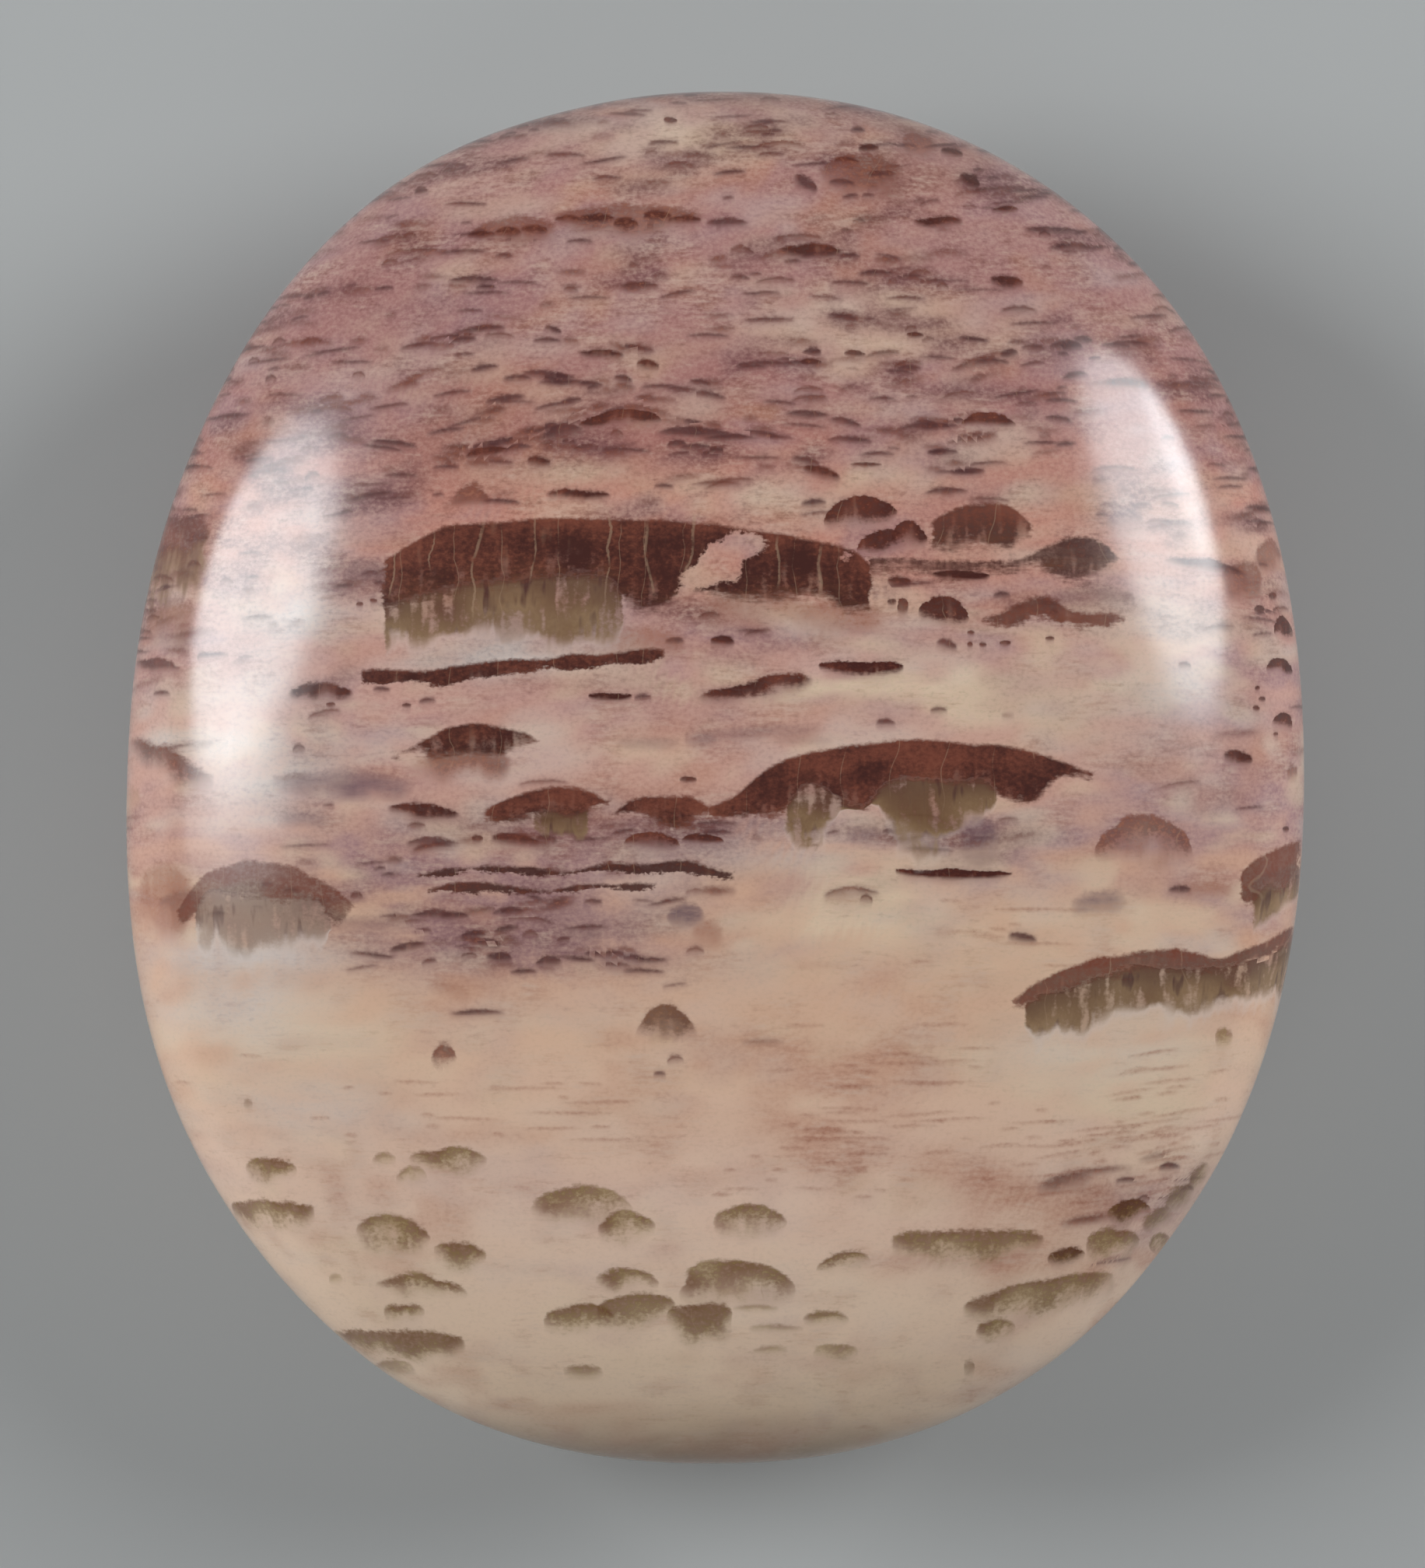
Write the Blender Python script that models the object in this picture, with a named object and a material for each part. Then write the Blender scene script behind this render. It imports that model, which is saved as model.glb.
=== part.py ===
"""Strata jasper palm stone: one piece of banded jasper, ground to a flattened pebble and polished all over.

Metres, +Z up. The stone lies on the small flat spot under it. Its rock layers run along X and are stacked
along Y, so +Y is the end with the younger, mauve layers. The origin is the middle of the flat spot's plane,
at the centre of the stone's box.
"""

import math

import bmesh
import bpy

# Driving dimensions of the pebble, before its swells
HALF_WIDTH = 0.0299
HALF_LENGTH = 0.0349
DOME_HEIGHT = 0.0118
BELLY_DEPTH = 0.0106
FLAT_SPOT_DEPTH = 0.00025

# Squareness: 2 is an ellipse, and more is boxier
PLAN_SQUARENESS = 2.2
SECTION_SQUARENESS = 2.15

# Where the outline swells past the plain oval or falls short of it: turn from +X, height and spread
OUTLINE_SWELLS = (
    (42.0, 0.00017, 15.0),
    (104.0, -0.00018, 9.0),
    (144.0, -0.00042, 22.0),
    (208.0, 0.00047, 22.0),
    (246.0, 0.00020, 14.0),
    (314.0, -0.00016, 24.0),
)

# The dome's crown sits a little towards the mauve end, and the belly's towards the cream end
CROWN_LEAN = 0.0008

# A polished chip on the rim at the lower right: the way it faces, how far out it lies, how soft its edge is
CHIP_TURN = -37.0
CHIP_RISE = 22.0
CHIP_REACH = 0.03015
CHIP_EDGE = 0.00015

SPHERE_SUBDIVISIONS = 5
JASPER_COLOUR = (0.52, 0.33, 0.26, 1.0)
POLISH_ROUGHNESS = 0.12


def signed_power(value, power):
    """|value| to the power, with the sign of value kept."""
    return math.copysign(abs(value) ** power, value)


def angle_apart(first, second):
    """The smallest angle between two turns, in degrees."""
    return abs((first - second + 180.0) % 360.0 - 180.0)


def outline_radius(turn):
    """Distance from the middle to the outline: a superellipse, plus a bell-shaped swell at each listed turn."""
    across = abs(math.cos(turn) / HALF_WIDTH) ** PLAN_SQUARENESS
    along = abs(math.sin(turn) / HALF_LENGTH) ** PLAN_SQUARENESS
    radius = (across + along) ** (-1.0 / PLAN_SQUARENESS)
    for place, height, spread in OUTLINE_SWELLS:
        radius += height * math.exp(-((angle_apart(math.degrees(turn), place) / spread) ** 2))
    return radius


def pebble_point(direction):
    """The surface point for a direction from the unit sphere.

    The direction's turn picks a radius of the outline, and its rise picks a point of the section, which is a
    superellipse too. The crown leans along Y with the square of the height.
    """
    turn = math.atan2(direction.y, direction.x)
    rise = math.asin(max(-1.0, min(1.0, direction.z)))
    section_power = 2.0 / SECTION_SQUARENESS
    reach = outline_radius(turn) * abs(math.cos(rise)) ** section_power
    height = signed_power(math.sin(rise), section_power)
    lean = CROWN_LEAN * height * abs(height)
    depth = DOME_HEIGHT if height > 0.0 else BELLY_DEPTH
    return reach * math.cos(turn), reach * math.sin(turn) + lean, depth * height


def chipped(point):
    """The point pushed back to the chip's plane where it lies beyond it, with a soft edge (a smooth minimum)."""
    turn, rise = math.radians(CHIP_TURN), math.radians(CHIP_RISE)
    facing = (math.cos(turn) * math.cos(rise), math.sin(turn) * math.cos(rise), math.sin(rise))
    beyond = sum(p * f for p, f in zip(point, facing)) - CHIP_REACH
    push = 0.5 * (beyond + math.sqrt(beyond * beyond + CHIP_EDGE * CHIP_EDGE))
    if beyond < -6.0 * CHIP_EDGE:
        return point
    return tuple(p - push * f for p, f in zip(point, facing))


def polished_jasper():
    """The stone's own colour and polish."""
    material = bpy.data.materials.new("polished_jasper")
    material.use_nodes = True
    shader = material.node_tree.nodes["Principled BSDF"]
    shader.inputs["Base Color"].default_value = JASPER_COLOUR
    shader.inputs["Roughness"].default_value = POLISH_ROUGHNESS
    shader.inputs["Metallic"].default_value = 0.0
    return material


def cut_flat_spot(mesh):
    """Cuts the belly off level just above its lowest point, and closes the cut with one flat face."""
    lowest = min(vertex.co.z for vertex in mesh.verts)
    everything = mesh.verts[:] + mesh.edges[:] + mesh.faces[:]
    cut = bmesh.ops.bisect_plane(
        mesh,
        geom=everything,
        plane_co=(0.0, 0.0, lowest + FLAT_SPOT_DEPTH),
        plane_no=(0.0, 0.0, -1.0),
        clear_outer=True,
    )
    rim = [item for item in cut["geom_cut"] if isinstance(item, bmesh.types.BMEdge)]
    bmesh.ops.contextual_create(mesh, geom=rim)


def stand_on_origin(mesh):
    """Moves the stone so that its box is centred on the origin and the flat spot lies at Z = 0."""
    xs = [vertex.co.x for vertex in mesh.verts]
    ys = [vertex.co.y for vertex in mesh.verts]
    lowest = min(vertex.co.z for vertex in mesh.verts)
    middle = (-0.5 * (min(xs) + max(xs)), -0.5 * (min(ys) + max(ys)), -lowest)
    bmesh.ops.translate(mesh, vec=middle, verts=mesh.verts)


def build_stone(collection):
    """The pebble: a sphere whose points are moved to the pebble's surface, chipped, then cut flat below."""
    mesh = bmesh.new()
    bmesh.ops.create_icosphere(mesh, subdivisions=SPHERE_SUBDIVISIONS, radius=1.0)
    for vertex in mesh.verts:
        vertex.co = chipped(pebble_point(vertex.co.normalized()))
    cut_flat_spot(mesh)
    stand_on_origin(mesh)
    bmesh.ops.recalc_face_normals(mesh, faces=mesh.faces)
    data = bpy.data.meshes.new("jasper_stone")
    mesh.to_mesh(data)
    mesh.free()
    data.shade_smooth()
    data.materials.append(polished_jasper())
    stone = bpy.data.objects.new("jasper_stone", data)
    collection.objects.link(stone)
    return stone


def main():
    for old in list(bpy.data.objects):
        bpy.data.objects.remove(old)
    collection = bpy.data.collections.new("strata_jasper")
    bpy.context.scene.collection.children.link(collection)
    build_stone(collection)


main()
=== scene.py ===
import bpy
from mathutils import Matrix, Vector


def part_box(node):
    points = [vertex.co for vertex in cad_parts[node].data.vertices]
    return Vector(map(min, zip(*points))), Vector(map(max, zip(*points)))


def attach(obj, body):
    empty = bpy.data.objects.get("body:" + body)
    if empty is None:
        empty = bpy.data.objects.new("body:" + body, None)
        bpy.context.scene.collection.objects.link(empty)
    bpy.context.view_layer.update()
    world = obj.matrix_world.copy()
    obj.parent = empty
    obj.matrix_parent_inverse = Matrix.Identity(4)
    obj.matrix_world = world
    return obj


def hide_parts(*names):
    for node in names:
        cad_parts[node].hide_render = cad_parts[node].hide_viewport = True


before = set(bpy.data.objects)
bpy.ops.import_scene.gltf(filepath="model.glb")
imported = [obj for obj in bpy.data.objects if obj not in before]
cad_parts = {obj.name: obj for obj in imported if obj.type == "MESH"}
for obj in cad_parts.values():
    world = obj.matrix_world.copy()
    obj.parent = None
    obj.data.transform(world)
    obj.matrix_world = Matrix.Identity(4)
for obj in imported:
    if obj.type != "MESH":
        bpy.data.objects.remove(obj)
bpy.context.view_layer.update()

import math

import bpy
import numpy as np

# THE STONE: ITS FORM
# One pebble of banded jasper, about 70 mm long, ground to a flattened oval and polished all over. A small
# chip on its rim was polished over as well, and it lies on a small flat spot.

MM = 0.001
STONE_NODE = "jasper_stone"
HALF_WIDTH = 29.9
HALF_LENGTH = 34.9
DOME_HEIGHT = 11.8
BELLY_DEPTH = 10.6
FLAT_SPOT_DEPTH = 0.25
PLAN_SQUARENESS = 2.2
SECTION_SQUARENESS = 2.15
# Swells of the outline: the turn from +X in degrees, the height in mm and the spread in degrees
OUTLINE_SWELLS = (
    (42.0, 0.17, 15.0), (104.0, -0.18, 9.0), (144.0, -0.42, 22.0),
    (208.0, 0.47, 22.0), (246.0, 0.20, 14.0), (314.0, -0.16, 24.0),
)
CROWN_LEAN = 0.8
CHIP_TURN = -37.0
CHIP_RISE = 22.0
CHIP_REACH = 30.15
CHIP_EDGE = 0.15
STONE_CELLS = 220
RING_EVENNESS = 0.75
BAKE_MIDDLE = (0.25, 0.5)
BAKE_HALF = (0.24, 0.49)
BELLY_BAKE_SHIFT = (0.5, 0.0)


def outline_radius(turn):
    """Millimetres from the middle to the outline: a superellipse, plus a bell at each listed turn."""
    across = np.abs(np.cos(turn) / HALF_WIDTH) ** PLAN_SQUARENESS
    along = np.abs(np.sin(turn) / HALF_LENGTH) ** PLAN_SQUARENESS
    radius = (across + along) ** (-1.0 / PLAN_SQUARENESS)
    for place, height, spread in OUTLINE_SWELLS:
        apart = np.abs((np.degrees(turn) - place + 180.0) % 360.0 - 180.0)
        radius = radius + height * np.exp(-((apart / spread) ** 2))
    return radius


def pebble_surface(turn, rise):
    """The pebble as a function of a turn round Z and a rise from the rim.

    The turn picks a radius of the outline, and the rise picks a point of the section, a superellipse that is
    deeper above the rim than below it. The crown leans along Y with the square of the height.
    """
    section_power = 2.0 / SECTION_SQUARENESS
    reach = outline_radius(turn) * np.abs(np.cos(rise)) ** section_power
    height = np.sign(rise) * np.abs(np.sin(rise)) ** section_power
    lean = CROWN_LEAN * height * np.abs(height)
    depth = np.where(height > 0.0, DOME_HEIGHT, BELLY_DEPTH)
    return np.stack([reach * np.cos(turn), reach * np.sin(turn) + lean, depth * height], axis=-1)


def chipped(points):
    """Points pushed back to the chip's plane where they lie beyond it: a smooth minimum, for a soft edge."""
    turn, rise = math.radians(CHIP_TURN), math.radians(CHIP_RISE)
    facing = np.array([math.cos(turn) * math.cos(rise), math.sin(turn) * math.cos(rise), math.sin(rise)])
    beyond = points @ facing - CHIP_REACH
    push = 0.5 * (beyond + np.sqrt(beyond * beyond + CHIP_EDGE * CHIP_EDGE))
    push = np.where(beyond < -6.0 * CHIP_EDGE, 0.0, push)
    return points - push[..., None] * facing


def square_to_disc(across, along):
    """The ring (0 to 1) and the turn of a point of the square -1 to 1, so that nested squares become circles.

    The larger coordinate gives the ring. The other one over it gives the turn within that side's quarter.
    """
    sideways = np.abs(across) >= np.abs(along)
    larger = np.where(sideways, across, along)
    smaller = np.where(sideways, along, across)
    share = smaller / np.where(larger == 0.0, 1.0, larger)
    turn = np.where(sideways, 0.25 * math.pi * share, 0.5 * math.pi - 0.25 * math.pi * share)
    return np.abs(larger), np.where(larger < 0.0, turn + math.pi, turn)


def stone_grid():
    """Points, quads and bake map: a square grid for the dome and one for the belly, joined at the rim."""
    line = np.linspace(-1.0, 1.0, STONE_CELLS + 1)
    across, along = np.meshgrid(line, line)
    ring, turn = square_to_disc(across, along)
    rise = 0.5 * math.pi * (1.0 - ring * (RING_EVENNESS + (1.0 - RING_EVENNESS) * ring))
    dome = chipped(pebble_surface(turn, rise))
    belly = chipped(pebble_surface(turn, -rise))
    lowest = belly[..., 2].min()
    belly[..., 2] = np.maximum(belly[..., 2], lowest + FLAT_SPOT_DEPTH)

    side = STONE_CELLS + 1
    dome_numbers = np.arange(side * side).reshape(side, side)
    inside = np.zeros((side, side), bool)
    inside[1:-1, 1:-1] = True
    belly_numbers = dome_numbers.copy()
    belly_numbers[inside] = side * side + np.arange(inside.sum())
    points = np.concatenate([dome.reshape(-1, 3), belly[inside]])

    def quads(numbers, outward):
        corners = [numbers[:-1, :-1], numbers[:-1, 1:], numbers[1:, 1:], numbers[1:, :-1]]
        return np.stack([corner.ravel() for corner in corners[::outward]], axis=-1)

    faces = np.concatenate([quads(dome_numbers, 1), quads(belly_numbers, -1)])
    sheet = BAKE_MIDDLE + BAKE_HALF * np.stack([across, along], axis=-1).reshape(-1, 2)
    belly_sheet = sheet[quads(dome_numbers, -1)] + BELLY_BAKE_SHIFT
    bake_map = np.concatenate([sheet[quads(dome_numbers, 1)], belly_sheet])
    return points, faces, bake_map


stone_points, stone_faces, stone_bake_map = stone_grid()
low, high = np.array(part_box(STONE_NODE)) / MM
corner, reach = stone_points.min(axis=0), np.ptp(stone_points, axis=0)
stone_points = low + (stone_points - corner) * (high - low) / reach
dome_points = stone_points[: (STONE_CELLS + 1) ** 2]

# THE STONE: ITS LARGE MARKINGS
# Capped beds: iron-brown caps with a crisp upper edge, some with moss-coloured columns hanging under them.
# Each is a body in the rock, given by its cap's upper and lower edge and its columns' feet, as (x, y) in mm
# from the middle.


def capped_bed(top, bottom, rust, columns=(), fade=0.3, veil=0.0, ink=1.0, moss=0.0):
    """A bed's edges and looks: how red its cap is, how softly the cap ends below, how pale the rock is round
    the columns' feet, how solid the cap is, and how green the columns are.
    """
    looks = dict(rust=rust, fade=fade, veil=veil, ink=ink, moss=moss)
    return dict(top=top, bottom=bottom, columns=columns, **looks)


CAPPED_BEDS = (
    # Great ledge
    capped_bed(
        top=(
            (-16.5, 10.8), (-15.9, 11.2), (-14.9, 11.8), (-13.5, 12.5), (-10.1, 12.7), (-8.9, 12.9),
            (-5, 12.9), (-0.3, 12.7), (0.7, 12.4), (2.5, 12.2), (4.4, 11.9), (6.2, 11.5), (7.2, 11.1),
            (7.7, 10.4),
        ),
        bottom=(
            (-16.5, 8.4), (-14.9, 8.9), (-13.5, 9.2), (-12, 9.5), (-7.4, 9.8), (-5, 9.7), (-4.5, 8.3),
            (-3.6, 8.1), (-2.6, 8.4), (-1.6, 9), (0.2, 8.9), (3.1, 8.9), (4.5, 9), (5.9, 8.8), (6.3, 8.1),
            (7.7, 8.4),
        ),
        columns=(
            (-16.5, 6.5), (-15.7, 7), (-14.5, 6.4), (-13.9, 7.1), (-13, 6.4), (-11.6, 7.5), (-10.3, 6.9),
            (-9.1, 7.4), (-7.9, 6.5), (-6.6, 6.9), (-4.7, 6.9), (-4.5, 8.2),
        ),
        rust=0.25, fade=0.5, veil=0.25, moss=0.9,
    ),
    # Long seam
    capped_bed(
        top=(
            (-17.5, 5.2), (-17, 5.4), (-13.2, 5.4), (-11.4, 5.8), (-7.1, 6.1), (-4.8, 6.3), (-2.9, 6.5),
            (-2.5, 6.3),
        ),
        bottom=(
            (-17.5, 4.8), (-17, 4.6), (-13.2, 4.7), (-11.4, 5), (-7.1, 5.3), (-4.8, 5.5), (-2.9, 5.7),
            (-2.5, 6),
        ),
        rust=0.15, fade=0.12,
    ),
    # Small capped dome
    capped_bed(
        top=((-16.1, 0.9), (-14.8, 1.8), (-13.4, 2.5), (-11.9, 2.8), (-10.5, 2.6), (-9.1, 2.2), (-8.6, 1.7)),
        bottom=(
            (-16.1, 0.8), (-14.7, 1.5), (-14.2, 0.9), (-12.6, 1.1), (-11.1, 0.9), (-10.2, 1.1), (-9.9, 1.7),
            (-9, 1.5), (-8.6, 1.7),
        ),
        rust=0.15, fade=0.4,
    ),
    # Long dome right of the middle
    capped_bed(
        top=(
            (-0.6, -1.5), (0.1, -1.3), (1.1, -0.8), (1.8, -0.2), (2.3, 0.4), (3.3, 0.9), (4.6, 1.3),
            (5.9, 1.5), (7.6, 1.8), (9.4, 2), (11.1, 1.8), (13.2, 1.7), (15.9, 1.3), (17.2, 0.8), (18.7, 0.2),
        ),
        bottom=(
            (-0.6, -2), (2.9, -1.9), (3.8, -1.6), (4.2, -0.4), (5.5, -0.3), (5.8, -1.3), (6.8, -1.6),
            (7.8, -1.5), (8.3, -0.2), (9.6, 0), (13.9, -0.4), (14.3, -1.2), (16.1, -1.2), (16.6, -0.2),
            (18.7, 0),
        ),
        columns=(
            (3.4, -2), (3.6, -3.6), (4.9, -3.5), (5.6, -2.6), (5.8, -1.6), (8.3, -1.2), (8.8, -3.5),
            (10.3, -3.7), (11.7, -3.3), (11.9, -1.9), (13.8, -1.9), (14, -0.8),
        ),
        rust=0.7, veil=0.2, moss=1,
    ),
    # Two joined domes left of the long dome, the first
    capped_bed(
        top=((-11.4, -1.8), (-10.8, -1.2), (-9.5, -0.8), (-8.3, -0.5), (-7, -0.4), (-6, -0.7), (-5.1, -1.2)),
        bottom=(
            (-11.4, -2), (-10.4, -2.1), (-9.3, -2), (-8.8, -1.8), (-6.2, -1.8), (-5.8, -1.6), (-5.1, -1.5),
        ),
        columns=((-9, -2.3), (-8.8, -3), (-8, -3.3), (-7, -3.1), (-6.3, -3.5), (-6.2, -2)),
        rust=0.4, moss=0.8,
    ),
    # Two joined domes left of the long dome, the second
    capped_bed(
        top=((-5.4, -2), (-4.6, -1.2), (-3.7, -0.9), (-2.5, -0.8), (-1.2, -0.8), (-0.7, -1.3), (-0.2, -1.5)),
        bottom=((-5.4, -2.1), (-4.5, -2), (-3, -2), (-2.3, -2.4), (-1.4, -2.5), (-1, -1.9), (-0.2, -1.9)),
        rust=0.4, fade=0.25,
    ),
    # Upper thin seam
    capped_bed(
        top=(
            (-14.9, -4.8), (-13.5, -4.5), (-11.5, -4.3), (-9.5, -4.4), (-7.3, -4.6), (-6, -4.3), (-4.8, -4.2),
            (-4, -4.4), (-3, -4.2), (-2, -4), (-1, -4.1), (-0.2, -4.5), (0.8, -4.8),
        ),
        bottom=(
            (-14.9, -5), (-13.5, -4.9), (-11.5, -4.7), (-9.5, -4.85), (-7.3, -5), (-6, -4.75), (-4.8, -4.65),
            (-4, -4.75), (-3, -4.75), (-2, -4.7), (-1, -4.75), (-0.2, -4.9), (0.8, -4.95),
        ),
        rust=0, fade=0.1, ink=0.95,
    ),
    # Lower thin seam
    capped_bed(
        top=(
            (-14.3, -5.5), (-13, -5.2), (-12, -5.1), (-10.4, -5.3), (-9, -5.5), (-8.5, -5.6), (-7.3, -5.3),
            (-6, -5.1), (-5, -5.3), (-3.5, -5.2), (-2.9, -5.3),
        ),
        bottom=(
            (-14.3, -5.7), (-13, -5.65), (-12, -5.55), (-10.4, -5.7), (-9, -5.75), (-8.5, -5.9), (-7.3, -5.8),
            (-6, -5.5), (-5, -5.6), (-3.5, -5.6), (-2.9, -5.4),
        ),
        rust=0.1, fade=0.1, ink=0.95,
    ),
    # Large dome of the cluster
    capped_bed(
        top=(
            (10.6, 12.5), (11, 13), (12, 13.4), (13, 13.7), (14.2, 13.8), (15, 13.5), (15.5, 12.9),
            (15.7, 12.4),
        ),
        bottom=(
            (10.6, 11.5), (11.2, 11.3), (11.9, 11.1), (12.2, 11.6), (13, 11.6), (14, 11.5), (14.5, 11.2),
            (15.1, 11.7), (15.7, 12.1),
        ),
        rust=0.3, fade=0.5, ink=0.95,
    ),
    # Wavy seam of the cluster, with the dome that it ends in
    capped_bed(
        top=(
            (7.6, 10.9), (8.6, 11), (10.3, 10.9), (11, 10.7), (12, 10.7), (13.5, 10.8), (15, 10.7),
            (16, 11.3), (17, 11.9), (18, 12.1), (19.2, 11.9), (20, 11.3), (20.3, 10.7),
        ),
        bottom=(
            (7.6, 10.3), (9, 10.3), (10.2, 10.2), (11, 10), (12.2, 9.9), (13.5, 10), (14.8, 10.1),
            (16.3, 10.5), (16.8, 10), (17.2, 9.6), (19.1, 9.7), (19.3, 10.4), (20.3, 10.5),
        ),
        rust=-0.1, fade=0.6, ink=0.88,
    ),
    # Dome of the cluster with a tail
    capped_bed(
        top=(
            (13.3, 7.9), (14.2, 8.2), (15.1, 8.8), (16, 9.1), (16.9, 8.9), (17.6, 8.4), (18.5, 8.2),
            (20, 8.2), (20.5, 7.9),
        ),
        bottom=(
            (13.3, 7.8), (14.1, 7.7), (14.4, 7.4), (15, 7.5), (15.4, 7.8), (16.5, 7.8), (17.5, 7.6),
            (18.4, 7.5), (19.5, 7.6), (20.5, 7.8),
        ),
        rust=0.4, fade=0.25, ink=0.9,
    ),
    # Dome at the left
    capped_bed(
        top=(
            (-27.1, -7), (-26.6, -5.8), (-25.6, -4.7), (-23.2, -4.1), (-21.4, -4.3), (-19.5, -5.1),
            (-18, -6.3),
        ),
        bottom=(
            (-27.1, -7.6), (-26.2, -7.2), (-26, -5.9), (-20.1, -6.1), (-19.3, -6.3), (-19.1, -8.5),
            (-18.9, -8.4), (-18.7, -6.9), (-18, -6.6),
        ),
        columns=((-26.1, -7.8), (-25.8, -8.6), (-22.5, -8.7), (-19.2, -8.6), (-19.1, -6.3)),
        rust=0.6, fade=0.25, veil=0.6, ink=0.75, moss=0.3,
    ),
    # Arched seam at the right
    capped_bed(
        top=(
            (14.7, -11.2), (15.8, -10.2), (17.2, -9.5), (19.3, -8.9), (22, -8.6), (23.2, -8.5), (24.3, -8.8),
            (25.4, -9.1), (25.9, -8.9), (28.2, -8), (29.4, -7.4),
        ),
        bottom=(
            (14.7, -11.5), (15, -11.8), (16.1, -11.1), (17.4, -10.6), (19.1, -10), (20.9, -9.7), (24.3, -9.8),
            (25.7, -9.8), (28.2, -8.9), (29.4, -8.4),
        ),
        columns=(
            (15.3, -11.6), (15.6, -13.3), (16.3, -13.4), (16.6, -12.6), (18.1, -12.7), (19.1, -12.1),
            (20.2, -11.5), (23.9, -11.7), (26.5, -11.2), (28.5, -11.1), (29.4, -10.4),
        ),
        rust=0.5, veil=0.45, ink=0.9, moss=0.9,
    ),
    # Dome at the right edge
    capped_bed(
        top=((26.5, -4.9), (26.8, -4.4), (27.3, -3.9), (28.2, -3.7), (29.6, -3.2)),
        bottom=((26.5, -5.5), (26.7, -7.4), (26.9, -7.4), (27.1, -6), (27.4, -5.8), (28.5, -5.7), (29.6, -5)),
        columns=((26.9, -7.4), (27.4, -7.5), (27.9, -7.1), (28.6, -6.7), (29.6, -5.9)),
        rust=0.6, veil=0.2, ink=0.85, moss=0.7,
    ),
)
# Bare patches of the great ledge: the middle and the radius of each circle
BARE_PATCHES = (
    (1.7, 11.5, 0.5), (0.9, 11.3, 0.75), (0.2, 11, 0.85), (0.8, 10.6, 0.6), (-0.3, 10.5, 0.75),
    (-0.8, 9.9, 0.6), (-1.3, 9.3, 0.5), (-1.6, 8.8, 0.5), (6.4, 10.9, 0.16),
)
# Hairline cracks: the upper end, the lower end and the width of each
CRACKS = (
    (-15.9, 11.3, -16.1, 9, 0.08), (-13.9, 12.2, -14.2, 10.4, 0.06), (-11.1, 13.4, -12.1, 10.8, 0.13),
    (-12.1, 10.8, -11.9, 7.6, 0.1), (-8.9, 13.1, -9, 10.8, 0.08), (-9, 10.8, -9.3, 9.8, 0.08),
    (-5.3, 13.1, -5.3, 10.6, 0.09), (-5.3, 10.6, -5.5, 8.7, 0.09), (-3.4, 12.6, -3.5, 11, 0.12),
    (-3.5, 11, -3.1, 9.1, 0.13), (-1.2, 13.1, -1.2, 11.6, 0.12), (-1.2, 11.6, -1.5, 10, 0.1),
    (3.2, 11.9, 3, 9.5, 0.11), (5.3, 11.5, 5.2, 9.2, 0.12), (1.9, -23.8, 1.9, -25.7, 0.07),
    (2.4, -23.9, 2.4, -26.1, 0.07),
)
BED_DEPTH = 7.0
OUTSIDE = -9.0
FADED = 2.5
SHORTEST_COLUMN = 0.05
ROUNDING = (-0.45, -0.25, -0.08, 0.08, 0.25, 0.45)


def height_of_dome(across, along):
    """The height of the dome's surface over a spot of the plan: that of the nearest point of its grid."""
    apart = (dome_points[:, 0] - across) ** 2 + (dome_points[:, 1] - along) ** 2
    return dome_points[apart.argmin(), 2]


def edge_at(edge, across):
    """The height of an edge at each place across: straight between its points, then rounded."""
    xs, ys = zip(*edge)
    return sum(np.interp(across + shift, xs, ys) for shift in ROUNDING) / len(ROUNDING)


def gaps_to_cap(bed, points):
    """How far points lie under a cap's upper edge, over its lower one, and inside its ends and sides."""
    across, along, high = points.T
    start, end = bed["top"][0], bed["top"][-1]
    middle = 0.5 * (start[0] + end[0])
    level = height_of_dome(middle, edge_at(bed["top"], middle))
    reach = BED_DEPTH + abs(height_of_dome(*start) - height_of_dome(*end))
    ends = np.minimum(np.minimum(across - start[0], end[0] - across), reach - np.abs(high - level))
    under_top, over_bottom = edge_at(bed["top"], across) - along, along - edge_at(bed["bottom"], across)
    return np.stack([under_top, over_bottom, ends], axis=-1)


def gaps_to_columns(bed, points):
    """How far points lie under the cap, the length of the columns that hang from it there, and how far points
    lie inside the columns' ends, front and back.
    """
    across = points[:, 0]
    _, over_bottom, ends = gaps_to_cap(bed, points).T
    if not bed["columns"]:
        return np.stack([-over_bottom, np.ones_like(ends), np.full_like(ends, OUTSIDE)], axis=-1)
    first, last = bed["columns"][0][0], bed["columns"][-1][0]
    length = edge_at(bed["bottom"], across) - edge_at(bed["columns"], across)
    ends = np.minimum(np.minimum(across - first, last - across), ends + 1.0)
    return np.stack([-over_bottom, np.maximum(length, SHORTEST_COLUMN), ends], axis=-1)


def nearest_bed(gaps_to, middles):
    """For each face, the number of the bed whose cap or columns it lies deepest in."""
    depths = []
    for bed in CAPPED_BEDS:
        gaps = gaps_to(bed, middles)
        if gaps_to is gaps_to_columns:
            gaps = np.stack([gaps[:, 0], FADED * gaps[:, 1] - gaps[:, 0], gaps[:, 2]], axis=-1)
        depths.append(gaps.min(axis=1))
    return np.argmax(depths, axis=0)


def gaps_to_bare(points):
    """How far points lie inside the nearest of the great ledge's bare patches, each a circle."""
    across, along = points[:, 0, None], points[:, 1, None]
    x, y, radius = np.array(BARE_PATCHES).T
    inside = (radius - np.hypot(across - x, along - y)).max(axis=1)
    return np.where(points[:, 2] > BED_DEPTH, inside, OUTSIDE)


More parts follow.
